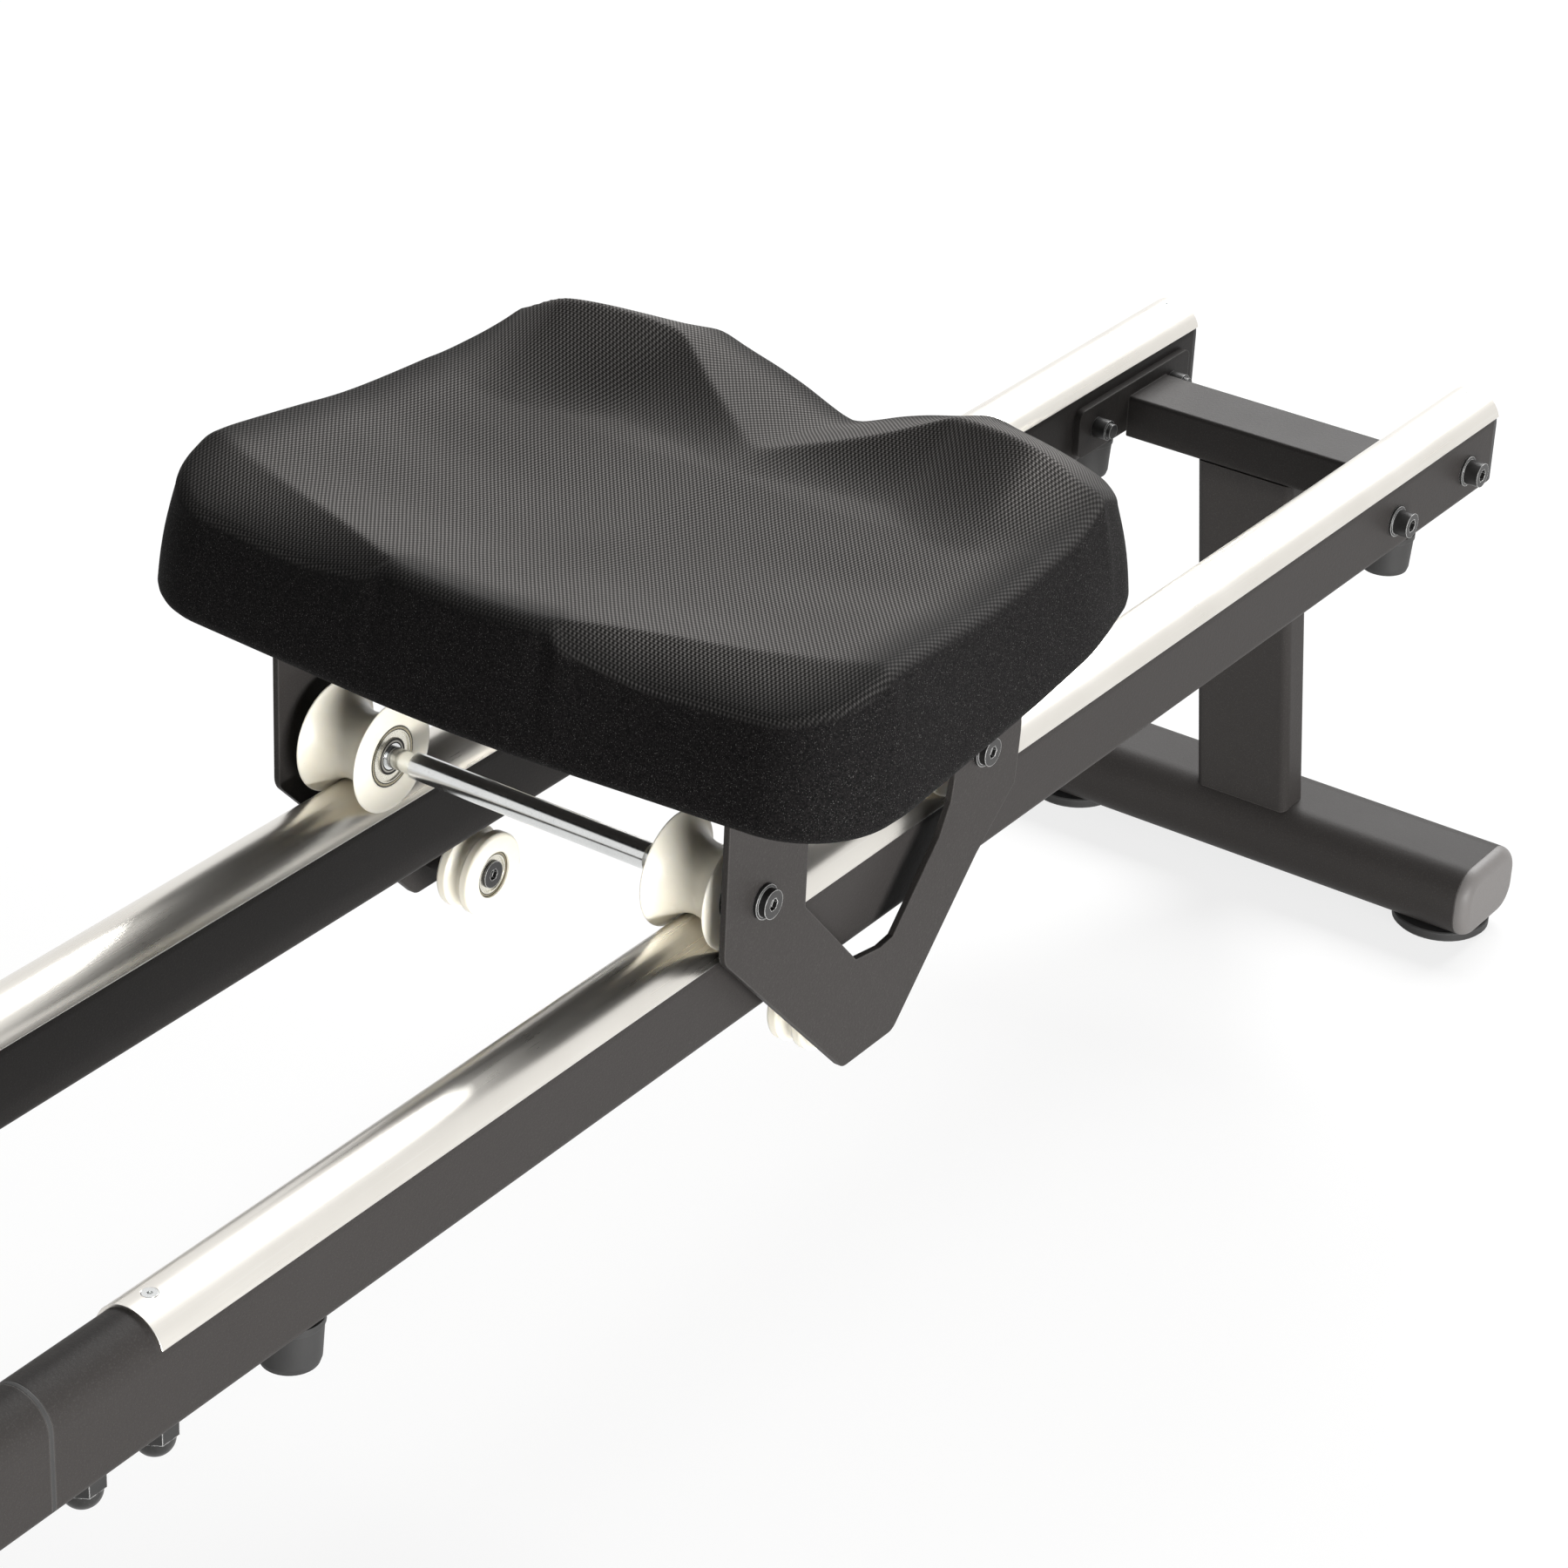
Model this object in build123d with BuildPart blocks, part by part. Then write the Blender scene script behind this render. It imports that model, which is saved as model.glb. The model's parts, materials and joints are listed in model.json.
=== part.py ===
"""Water rowing machine, built piece by piece in one frame.

X runs along the machine with the rear at +X, Y is across it and Z is up from the floor.
Lengths are millimetres. Figures in rail coordinates count X from the rear rail end,
Y from the centre plane and Z from the centre of the rail's rounded top.
"""
import os
from math import atan2, cos, degrees, hypot, radians, sin, sqrt

from build123d import *

os.makedirs("parts", exist_ok=True)

# Rails
RAIL_SPACING = 91.0
RAIL_HEIGHT_ABOVE_FLOOR = 289.0
RAIL_RADIUS = 15.0
RAIL_DEPTH = 35.0
RAIL_CORNER = 4.0
RAIL_WALL = 2.0
RAIL_SEAM = -1102.7
GASKET = 2.0
CAP_FLANGE = 2.5
CAP_PLUG = 14.0
SLIP = 0.2
GAP = 0.3
RUNNING = 0.05

# Running strip and its screws
STRIP_WALL = 1.4
STRIP_FRONT = -1047.0
STRIP_EDGE = 4.0
STRIP_SCREWS = (-1035.4, -9.5)
STRIP_SCREW_HEAD = 3.2
STRIP_SCREW_SHANK = 1.5
STRIP_SCREW_LENGTH = 9.0
STRIP_SCREW_SEAT = 0.9
STRIP_SCREW_KEY = 1.2

# Joint between the rails and the front tubes
INSERT_REACH = 82.0
INSERT_WALL = 3.0
JOINT_BOLTS = (28.7, 67.7)
JOINT_WASHER_RADIUS = 9.8
JOINT_WASHER = 2.0
JOINT_NUT_FLATS = 16.0
JOINT_NUT_HEX = 9.0
JOINT_NUT_DOME = 9.0
JOINT_NUT_ROUND = 7.6
JOINT_BOLT_RADIUS = 4.0
JOINT_BOLT_INSIDE = 16.0

# Legs
BEAM_NEAR = 36.3
BEAM_WIDTH = 39.8
BEAM_TOP = -10.3
BEAM_DEPTH = 23.5
BEAM_CORNER = 2.0
LEG_WALL = 2.0
END_PLATE = 4.0
END_PLATE_NEAR = 13.0
END_PLATE_LENGTH = 113.0
END_PLATE_TOP = -3.0
END_PLATE_HEIGHT = 27.0
END_PLATE_CORNER = 5.0
BEAM_BOLTS = (30.7, 108.8)
BEAM_BOLT_DROP = -16.3
BEAM_BOLT_RADIUS = 4.0
BEAM_HEAD_RADIUS = 6.5
BEAM_HEAD = 8.0
BEAM_WASHER_RADIUS = 8.0
BEAM_WASHER = 1.6
BEAM_NUT_RADIUS = 5.4
BEAM_NUT = 8.0
BOLT_TAIL = 2.5
HEX_KEY = 6.0
KEY_DEPTH = 4.0
UPRIGHT_WIDTH = 57.0
UPRIGHT_DEPTH = 21.0
UPRIGHT_CORNER = 4.5
UPRIGHT_LEAN = 9.68
FOOT_CENTRE = 17.4
FOOT_LENGTH = 60.0
FOOT_HEIGHT = 40.0
FOOT_CORNER = 16.0
FOOT_HALF = 139.0
FOOT_DOME = 7.0
PAD_RADIUS = 26.5
PAD_THICKNESS = 6.0
PAD_STATION = 118.0
PAD_STUD = 4.0
PAD_STUD_LENGTH = 12.0
PAD_ROUND = 1.5

# Bumpers under the rails
BUMPERS = (-959.0, -84.0)
BUMPER_FLANGE = 3.0
BUMPER_FLANGE_RADIUS = 14.0
BUMPER_LENGTH = 22.0
BUMPER_TOP_RADIUS = 13.5
BUMPER_TIP_RADIUS = 12.5
BUMPER_ROUND = 3.0
BUMPER_STUD = 3.0
BUMPER_STUD_LENGTH = 9.0

# Seat carriage
AXLE_HEIGHT = 32.3
AXLES = (-692.8, -525.7)
AXLE_RADIUS = 6.0
AXLE_NECK = 4.8
AXLE_NECK_LENGTH = 13.0
ROLLER_RADIUS = 25.8
ROLLER_EDGE = 1.6
ROLLER_WIDTH = 32.0
AXLE_NECK_AT = RAIL_SPACING - ROLLER_WIDTH / 2 - AXLE_NECK_LENGTH
ROLLER_WEB_BORE = 9.0
BEARING_RADIUS = 14.0
BEARING_WIDTH = 8.0
BEARING_OUTER_RING = 2.4
BEARING_INNER_RING = 2.4
SHIELD_INSET = 0.6
PLATE_FACE = 119.0
PLATE = 3.0
SPACER_RADIUS = 8.5
AXLE_TAP_RADIUS = 4.0
AXLE_TAP_DEPTH = 14.0
SCREW_HEAD_RADIUS = 6.5
SCREW_HEAD = 3.4
SCREW_WASHER_RADIUS = 7.8
SCREW_WASHER = 1.9
SCREW_KEY = 5.0
SCREW_KEY_DEPTH = 2.2
PLATE_TOP = 92.0
PLATE_ROUND = 10.0
PLATE_FOOT_ROUND = 8.0
PLATE_OUTLINE = (
    (-719.0, 14.0), (-625.3, -82.2), (-586.0, -82.2), (-525.0, -20.5), (-496.0, 3.0), (-494.0, 28.0),
)
WINDOW_OUTLINE = (
    (-661.0, 15.0), (-619.0, -30.7), (-600.0, -33.7), (-590.0, -32.5), (-557.0, 2.0),
    (-549.5, 16.0), (-547.6, 26.0),
)
WINDOW_TOP = 84.0
FLANGE_WIDTH = 22.0
PAN_FRONT = -719.0
PAN_REAR = -494.0
PAN_SCREWS = (-700.0, -510.0)
PAN_SCREW_RADIUS = 3.0

# Lower rollers
LOWER_ROLLER_AT = (-611.0, -66.0)
LOWER_ROLLER_RADIUS = 20.0
LOWER_ROLLER_WIDTH = 18.0
LOWER_ROLLER_GROOVE = 3.2
LOWER_ROLLER_ROUND = 1.8
LOWER_ROLLER_RIM = 4.8
LOWER_BEARING_RADIUS = 11.0
LOWER_BEARING_WIDTH = 16.0
LOWER_BOLT_RADIUS = 4.0
LOWER_BOLT_HEAD = 0.9
LOWER_BOSS_RADIUS = 8.0

# Seat cushion
SEAT_BASE = 95.0
SEAT_SKIRT = 3.5
SEAT_POCKET_ROOM = 3.0
SEAT_INSET = 7.0
SEAT_TOP_ROUND = 10.0
SEAT_FOOT_ROUND = 6.0
SEAT_SHARES = (0.0, 0.2, 0.4, 0.6, 0.8, 0.94)
SEAT_STATIONS = (
    (-749.8, 58.4, (150.0, 150.5, 151.0, 149.0, 144.5, 142.0)),
    (-747.6, 86.3, (150.5, 151.0, 151.5, 147.0, 141.5, 139.0)),
    (-745.4, 114.3, (151.0, 152.0, 152.0, 145.0, 140.5, 138.5)),
    (-743.4, 138.5, (151.0, 152.0, 151.0, 144.5, 141.0, 140.0)),
    (-738.8, 154.3, (150.0, 151.0, 152.0, 146.0, 143.0, 142.0)),
    (-721.0, 175.8, (149.0, 150.5, 152.5, 148.0, 147.0, 147.5)),
    (-706.0, 184.5, (146.0, 147.5, 149.5, 152.5, 153.5, 153.0)),
    (-687.0, 184.1, (143.0, 143.5, 145.0, 149.5, 154.5, 157.5)),
    (-652.0, 181.7, (141.0, 139.5, 140.5, 145.0, 151.5, 155.0)),
    (-615.0, 179.1, (140.0, 138.0, 138.0, 142.0, 148.0, 151.5)),
    (-578.0, 176.4, (141.0, 138.5, 139.5, 143.5, 148.0, 150.5)),
    (-552.0, 173.7, (142.5, 140.0, 140.5, 146.5, 150.5, 151.0)),
    (-531.0, 171.0, (144.0, 143.5, 143.0, 155.0, 156.5, 151.5)),
    (-510.0, 166.9, (141.0, 150.5, 152.5, 167.5, 167.0, 154.5)),
    (-490.0, 161.7, (137.5, 148.0, 160.5, 166.5, 161.0, 152.0)),
    (-471.0, 153.8, (133.5, 144.5, 154.5, 158.0, 151.5, 143.0)),
    (-457.0, 139.6, (130.5, 140.5, 149.0, 152.0, 146.0, 139.5)),
    (-449.5, 120.2, (128.5, 137.5, 145.5, 150.5, 145.0, 140.0)),
)

# Water tank
TANK_RADIUS = 214.0
TANK_WALL = 4.0
TANK_FLANGE_WIDTH = 22.0
TANK_FLANGE_RADIUS = TANK_RADIUS + TANK_FLANGE_WIDTH
TRAY = 3.0
TRAY_HALF = 106.0
TRAY_INSET = 44.0
TRAY_LENGTH = 2 * (TANK_RADIUS - TRAY_INSET)
TANK_FLANGE = 6.0
TANK_LOWER_HEIGHT = 84.0
TANK_UPPER_HEIGHT = 78.0
TANK_ROUND = 26.0
SEAL = 3.0
SEAL_FROM_WALL = 2.0
SEAL_WIDTH = 6.0
SEAL_INNER = TANK_RADIUS + SEAL_FROM_WALL
SEAL_OUTER = SEAL_INNER + SEAL_WIDTH
TANK_BOLT_COUNT = 12
TANK_BOLT_EDGE = 7.0
TANK_BOLT_CIRCLE = TANK_FLANGE_RADIUS - TANK_BOLT_EDGE
TANK_BOLT_RADIUS = 2.5
TANK_BOLT_HEAD_RADIUS = 4.5
TANK_BOLT_HEAD = 4.0
WATER_HEIGHT = 72.0
WATER_UNDER = 12.0
PADDLE_TIP_GAP = 38.0
PADDLE_RADIUS = TANK_RADIUS - PADDLE_TIP_GAP
PADDLE_CLEARANCE = 6.0
PADDLE_HEIGHT = 58.0
PADDLE_THICKNESS = 4.0
PADDLE_HUB = 18.0
PADDLE_COUNT = 6
SHAFT_RADIUS = 7.5
SHAFT_BEARING_RADIUS = 16.0
SHAFT_BEARING_WIDTH = 9.0
SHAFT_HOUSING_RADIUS = 24.0
SHAFT_HOUSING = 14.0

# Drive
DRIVE_PLATE = 4.0
DRIVE_PLATE_HALF = 56.0
DRIVE_PLATE_BACK = 60.0
DRUM_RADIUS = 40.0
DRUM_FLANGE_RADIUS = 52.0
DRUM_FLANGE = 2.5
DRUM_RISE = 26.7
BELT_WIDTH = 20.0
BELT_THICKNESS = 1.6
BELT_TURNS = 5.6
DRUM_CHANNEL = 23.0
PULLEY_RADIUS = 11.0
PULLEY_INSET = 74.0
PULLEY_AT = TANK_RADIUS - PULLEY_INSET
PULLEY_EDGE = 28.0
DRIVE_PLATE_FRONT = PULLEY_AT + PULLEY_EDGE
PULLEY_FLANGE_RADIUS = 15.0
PULLEY_STUD = 4.0
COVER_FRONT = -95.0
COVER_PAST_PULLEY = 45.0
COVER_BACK = PULLEY_AT + COVER_PAST_PULLEY
COVER_HALF = 74.0
COVER_HEADROOM = 16.0
COVER_WALL = 3.0
COVER_CORNER = 30.0
COVER_SLOT_WIDTH = 12.0
COVER_SLOT_HEIGHT = 30.0

# Handle
HANDLE_AT = -1268.0
HANDLE_HALF = 214.0
HANDLE_RADIUS = 9.0
GRIP_RADIUS = 14.0
GRIP_LENGTH = 130.0
HANDLE_HUB_HALF = 17.0
HANDLE_HUB_RADIUS = 15.0
CRADLE_OUT = 40.0
CRADLE_WIDTH = 24.0

# Foot rests
REST_BASE_FRONT = -1476.0
REST_BASE_REAR = -1246.0
REST_BASE = 4.0
REST_TO_TANK = 8.0
BOARD_FOOT = (-1306.0, 27.0)
BOARD_LENGTH = 286.0
BOARD_SLOPE = 50.0
BOARD_THICKNESS = 10.0
BOARD_INNER = 30.0
BOARD_OUTER = 164.0
BOARD_ROUND = 12.0
RIB = 5.0
RIB_AT = 84.0
BOARD_SLOT_WIDTH = 9.0
BOARD_SLOT_LENGTH = 90.0
BOARD_SLOT_AT = 95.0
CUP_WIDTH = 96.0
CUP_DEPTH = 66.0
CUP_WALL = 4.0
CUP_HEIGHT = 46.0
CUP_AT = 62.0
CUP_TONGUE_WIDTH = 8.4
CUP_TONGUE_LENGTH = 40.0
CUP_NUT_WIDTH = 16.0
CUP_NUT = 3.0
STRAP_AT = 214.0
STRAP_WIDTH = 38.0
STRAP_THICKNESS = 2.4
STRAP_RISE = 62.0
STRAP_HALF = 55.0
STRAP_TAIL = 4.0

# Console
ARM_TO_END = 32.0
ARM_RADIUS = 12.0
ARM_BASE = 5.0
ARM_BASE_LENGTH = 44.0
ARM_RISE = 330.0
ARM_WALL = 2.0
ARM_EYE_RADIUS = 14.0
ARM_EYE_HALF = 13.0
PIN_RADIUS = 4.0
CONSOLE_WIDTH = 150.0
CONSOLE_HEIGHT = 96.0
CONSOLE_DEPTH = 26.0
CONSOLE_ROUND = 9.0
CONSOLE_LUG = 8.0
CONSOLE_LUG_DROP = 20.0
CONSOLE_TILT = 20.0
SCREEN_WIDTH = 108.0
SCREEN_HEIGHT = 52.0
SCREEN_DEPTH = 1.5
BUTTON_RADIUS = 7.0
BUTTON_HEIGHT = 5.0
BUTTON_DEPTH = 8.0
BUTTON_DROP = 34.0

# Transport wheels
WHEEL_RADIUS = 30.0
WHEEL_WIDTH = 22.0
WHEEL_BORE = 5.0
WHEEL_LIFT = 5.0
WHEEL_REACH = 38.0
WHEEL_STATION = 96.0
WHEEL_ROUND = 4.0
BRACKET = 4.0
BRACKET_HALF = 13.0
WHEEL_HEAD = 4.0
WHEEL_HEAD_RADIUS = 7.5

# Places along the machine: the tank stands before the foot rests, and the arm before the tank
TANK_AT = REST_BASE_FRONT - REST_TO_TANK - TANK_FLANGE_RADIUS
ARM_AT = TANK_AT - TANK_FLANGE_RADIUS - ARM_RADIUS
FRONT_END = ARM_AT - ARM_TO_END

# Frame placing: the outermost points in X are the rear foot tube and the front wheels
REAR_REACH = FOOT_LENGTH / 2 - FOOT_CENTRE
WHEEL_X = FRONT_END - REAR_REACH - WHEEL_REACH
FRONT_REACH = WHEEL_X - WHEEL_RADIUS
REAR_X = -(REAR_REACH + FRONT_REACH) / 2
FLOOR = -RAIL_HEIGHT_ABOVE_FLOOR
FOOT_Z = FLOOR + PAD_THICKNESS + FOOT_HEIGHT / 2
SIDES = (("left", 1), ("right", -1))
BELT_LINE = BELT_THICKNESS / 2


def across(x, y=0.0, z=0.0):
    """Plane whose local x is +Y and local y is +Z, looking to the rear."""
    return Plane(origin=(REAR_X + x, y, RAIL_HEIGHT_ABOVE_FLOOR + z), x_dir=(0, 1, 0), z_dir=(1, 0, 0))


def side(y, x=0.0, z=0.0):
    """Plane whose local x is +X and local y is +Z; a positive extrude goes to -Y."""
    return Plane(origin=(REAR_X + x, y, RAIL_HEIGHT_ABOVE_FLOOR + z), x_dir=(1, 0, 0), z_dir=(0, -1, 0))


def level(z, x=0.0, y=0.0):
    """Plane whose local x is +X and local y is +Y."""
    return Plane(origin=(REAR_X + x, y, RAIL_HEIGHT_ABOVE_FLOOR + z), x_dir=(1, 0, 0), z_dir=(0, 0, 1))


def line_y(x, z):
    """Axis across the machine."""
    return Axis((REAR_X + x, 0, RAIL_HEIGHT_ABOVE_FLOOR + z), (0, 1, 0))


def line_z(x, y=0.0):
    """Upright axis."""
    return Axis((REAR_X + x, y, 0), (0, 0, 1))


def d_face(half, depth, corner):
    """Rail section: half round above, flat sides and a flat bottom with small corners."""
    with BuildSketch() as face:
        Circle(half)
        with Locations((0, -depth / 2)):
            Rectangle(2 * half, depth)
        fillet(face.vertices().group_by(Axis.Y)[0], corner)
    return face.sketch


def round_face(width, height, corner):
    """Rounded rectangle as a sketch."""
    with BuildSketch() as face:
        RectangleRounded(width, height, corner)
    return face.sketch


def turned(points, plane, axis):
    """Solid of revolution from a closed outline of points on a plane."""
    with BuildPart() as blank:
        with BuildSketch(plane):
            with BuildLine():
                Polyline(*points, close=True)
            make_face()
        revolve(axis=axis)
    return blank.part


RAIL_FACE = d_face(RAIL_RADIUS, RAIL_DEPTH, RAIL_CORNER)
BORE_FACE = d_face(RAIL_RADIUS - RAIL_WALL, RAIL_DEPTH - RAIL_WALL, RAIL_WALL)
PLUG_FACE = d_face(RAIL_RADIUS - RAIL_WALL - SLIP, RAIL_DEPTH - RAIL_WALL - SLIP, RAIL_WALL)
PLUG_BORE = d_face(RAIL_RADIUS - RAIL_WALL - INSERT_WALL, RAIL_DEPTH - RAIL_WALL - INSERT_WALL, RAIL_WALL)
FOOT_FACE = round_face(FOOT_LENGTH, FOOT_HEIGHT, FOOT_CORNER)
FOOT_BORE = round_face(FOOT_LENGTH - 2 * LEG_WALL, FOOT_HEIGHT - 2 * LEG_WALL, FOOT_CORNER - LEG_WALL)
FOOT_PLUG = round_face(
    FOOT_LENGTH - 2 * LEG_WALL - 2 * SLIP,
    FOOT_HEIGHT - 2 * LEG_WALL - 2 * SLIP,
    FOOT_CORNER - LEG_WALL - SLIP,
)

rear_bolts = [RAIL_SEAM + reach for reach in JOINT_BOLTS]
front_bolts = [RAIL_SEAM - GASKET - reach for reach in JOINT_BOLTS]
rear_beam_bolts = [-reach for reach in BEAM_BOLTS]
front_beam_bolts = [FRONT_END + reach for reach in BEAM_BOLTS]

# Rails with their strip, screw, bolt and stud holes
for name, sign in SIDES:
    y = sign * RAIL_SPACING
    with BuildPart() as rail:
        with BuildSketch(across(RAIL_SEAM, y)):
            add(RAIL_FACE)
            add(BORE_FACE, mode=Mode.SUBTRACT)
        extrude(amount=-RAIL_SEAM - CAP_FLANGE)
        with BuildSketch(level(RAIL_RADIUS - 2 * RAIL_WALL, 0, y)):
            with Locations(*[(x, 0) for x in STRIP_SCREWS]):
                Circle(STRIP_SCREW_SHANK + SLIP)
        extrude(amount=2 * RAIL_WALL, mode=Mode.SUBTRACT)
        with BuildSketch(level(RAIL_RADIUS - STRIP_SCREW_SEAT, 0, y)):
            with Locations(*[(x, 0) for x in STRIP_SCREWS]):
                Circle(STRIP_SCREW_HEAD + SLIP)
        extrude(amount=RAIL_WALL, mode=Mode.SUBTRACT)
        with BuildSketch(side(y + RAIL_RADIUS)):
            with Locations(*[(x, BEAM_BOLT_DROP) for x in rear_beam_bolts]):
                Circle(BEAM_BOLT_RADIUS + SLIP)
        extrude(amount=2 * RAIL_RADIUS, mode=Mode.SUBTRACT)
        with BuildSketch(level(-RAIL_DEPTH, 0, y)):
            with Locations(*[(x, 0) for x in rear_bolts]):
                Circle(JOINT_BOLT_RADIUS + SLIP)
            with Locations(*[(x, 0) for x in BUMPERS]):
                Circle(BUMPER_STUD + SLIP)
        extrude(amount=RAIL_WALL, mode=Mode.SUBTRACT)
    rail.part.label = f"rail_{name}"
    export_step(rail.part, f"parts/rail_{name}.step")

# Front tubes carry on the same section under the tank
with BuildPart() as front_tubes:
    for name, sign in SIDES:
        y = sign * RAIL_SPACING
        with BuildSketch(across(FRONT_END + CAP_FLANGE, y)):
            add(RAIL_FACE)
            add(BORE_FACE, mode=Mode.SUBTRACT)
        extrude(amount=RAIL_SEAM - GASKET - FRONT_END - CAP_FLANGE)
        with BuildSketch(side(y + RAIL_RADIUS)):
            with Locations(*[(x, BEAM_BOLT_DROP) for x in front_beam_bolts]):
                Circle(BEAM_BOLT_RADIUS + SLIP)
        extrude(amount=2 * RAIL_RADIUS, mode=Mode.SUBTRACT)
        with BuildSketch(level(-RAIL_DEPTH, 0, y)):
            with Locations(*[(x, 0) for x in front_bolts]):
                Circle(JOINT_BOLT_RADIUS + SLIP)
        extrude(amount=RAIL_WALL, mode=Mode.SUBTRACT)
front_tubes.part.label = "front_tubes"
export_step(front_tubes.part, "parts/front_tubes.step")

# Bright running strips wrapped over the rounded rail tops
with BuildPart() as running_strips:
    for name, sign in SIDES:
        y = sign * RAIL_SPACING
        with BuildSketch(across(STRIP_FRONT, y)):
            Circle(RAIL_RADIUS + STRIP_WALL)
            Circle(RAIL_RADIUS, mode=Mode.SUBTRACT)
            with Locations((0, STRIP_EDGE - RAIL_DEPTH)):
                Rectangle(4 * RAIL_RADIUS, 2 * RAIL_DEPTH, mode=Mode.SUBTRACT)
        extrude(amount=-STRIP_FRONT)
        with BuildSketch(level(RAIL_RADIUS - STRIP_SCREW_SEAT, 0, y)):
            with Locations(*[(x, 0) for x in STRIP_SCREWS]):
                Circle(STRIP_SCREW_HEAD + SLIP)
        extrude(amount=2 * RAIL_WALL, mode=Mode.SUBTRACT)
running_strips.part.label = "running_strips"
export_step(running_strips.part, "parts/running_strips.step")

with BuildPart() as strip_screws:
    for name, sign in SIDES:
        for x in STRIP_SCREWS:
            with BuildSketch(level(RAIL_RADIUS - STRIP_SCREW_SEAT, x, sign * RAIL_SPACING)):
                Circle(STRIP_SCREW_HEAD)
            extrude(amount=STRIP_SCREW_SEAT + STRIP_WALL)
            with BuildSketch(level(RAIL_RADIUS + STRIP_WALL - STRIP_SCREW_KEY, x, sign * RAIL_SPACING)):
                RegularPolygon(STRIP_SCREW_KEY, 6)
            extrude(amount=STRIP_SCREW_KEY, mode=Mode.SUBTRACT)
            with BuildSketch(level(RAIL_RADIUS - STRIP_SCREW_SEAT, x, sign * RAIL_SPACING)):
                Circle(STRIP_SCREW_SHANK)
            extrude(amount=-STRIP_SCREW_LENGTH)
strip_screws.part.label = "strip_screws"
export_step(strip_screws.part, "parts/strip_screws.step")

# End caps: a flange on the tube end and a plug inside it
with BuildPart() as rail_end_caps:
    for name, sign in SIDES:
        for end, inward in ((0.0, -1), (FRONT_END, 1)):
            with BuildSketch(across(end, sign * RAIL_SPACING)):
                add(RAIL_FACE)
            extrude(amount=inward * CAP_FLANGE)
            with BuildSketch(across(end, sign * RAIL_SPACING)):
                add(PLUG_FACE)
                add(PLUG_BORE, mode=Mode.SUBTRACT)
            extrude(amount=inward * CAP_PLUG)
    with BuildSketch(level(RAIL_RADIUS - RAIL_WALL, STRIP_SCREWS[1])):
        with Locations(*[(0, sign * RAIL_SPACING) for name, sign in SIDES]):
            Circle(STRIP_SCREW_SHANK + SLIP)
    extrude(amount=-STRIP_SCREW_LENGTH, mode=Mode.SUBTRACT)
rail_end_caps.part.label = "rail_end_caps"
export_step(rail_end_caps.part, "parts/rail_end_caps.step")

# Inner sleeves, gaskets and domed nuts where the rails meet the front tubes
joint_front = RAIL_SEAM - GASKET - INSERT_REACH
with BuildPart() as joint_inserts:
    for name, sign in SIDES:
        y = sign * RAIL_SPACING
        with BuildSketch(across(joint_front, y)):
            add(PLUG_FACE)
            add(PLUG_BORE, mode=Mode.SUBTRACT)
        extrude(amount=2 * INSERT_REACH + GASKET)
        with BuildSketch(level(-RAIL_DEPTH, 0, y)):
            with Locations(*[(x, 0) for x in rear_bolts + front_bolts]):
                Circle(JOINT_BOLT_RADIUS + SLIP)
        extrude(amount=2 * INSERT_WALL + RAIL_WALL, mode=Mode.SUBTRACT)
        with BuildSketch(level(RAIL_RADIUS, STRIP_SCREWS[0], y)):
            Circle(STRIP_SCREW_SHANK + SLIP)
        extrude(amount=-2 * STRIP_SCREW_LENGTH, mode=Mode.SUBTRACT)
joint_inserts.part.label = "joint_inserts"
export_step(joint_inserts.part, "parts/joint_inserts.step")

with BuildPart() as joint_gaskets:
    for name, sign in SIDES:
        with BuildSketch(across(RAIL_SEAM - GASKET, sign * RAIL_SPACING)):
            add(RAIL_FACE)
            add(BORE_FACE, mode=Mode.SUBTRACT)
        extrude(amount=GASKET)
joint_gaskets.part.label = "joint_gaskets"
export_step(joint_gaskets.part, "parts/joint_gaskets.step")

with BuildPart() as joint_bolts:
    for name, sign in SIDES:
        for x in rear_bolts + front_bolts:
            with BuildSketch(level(-RAIL_DEPTH, x, sign * RAIL_SPACING)):
                Circle(JOINT_WASHER_RADIUS)
            extrude(amount=-JOINT_WASHER)
            with BuildSketch(level(-RAIL_DEPTH - JOINT_WASHER, x, sign * RAIL_SPACING)):
                RegularPolygon(JOINT_NUT_FLATS / 2, 6, major_radius=False)
            extrude(amount=-JOINT_NUT_HEX)
            with BuildSketch(level(-RAIL_DEPTH - JOINT_WASHER - JOINT_NUT_HEX, x, sign * RAIL_SPACING)):
                Circle(JOINT_NUT_FLATS / 2)
            extrude(amount=-JOINT_NUT_DOME)
            tip = -RAIL_DEPTH - JOINT_WASHER - JOINT_NUT_HEX - JOINT_NUT_DOME
            dome = joint_bolts.edges().filter_by(GeomType.CIRCLE).group_by(Axis.Z)[0]
            top = (REAR_X + x, sign * RAIL_SPACING, RAIL_HEIGHT_ABOVE_FLOOR + tip)
            fillet(dome.sort_by_distance(top)[0:1], JOINT_NUT_ROUND)
            with BuildSketch(level(-RAIL_DEPTH, x, sign * RAIL_SPACING)):
                Circle(JOINT_BOLT_RADIUS)
            extrude(amount=JOINT_BOLT_INSIDE)
joint_bolts.part.label = "joint_bolts"
export_step(joint_bolts.part, "parts/joint_bolts.step")

# Legs: crossbeam with end plates, leaning upright and foot tube at each end
lean = radians(UPRIGHT_LEAN)
lean_top = (
    -BEAM_NEAR - BEAM_WIDTH + UPRIGHT_DEPTH / 2 * cos(lean),
    BEAM_TOP - BEAM_DEPTH + UPRIGHT_DEPTH / 2 * sin(lean),
)


def leg_x(end, x):
    """Place a rear-leg distance at either end: the front leg is the rear one mirrored."""
    return x if end == "rear" else FRONT_END - x


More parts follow.
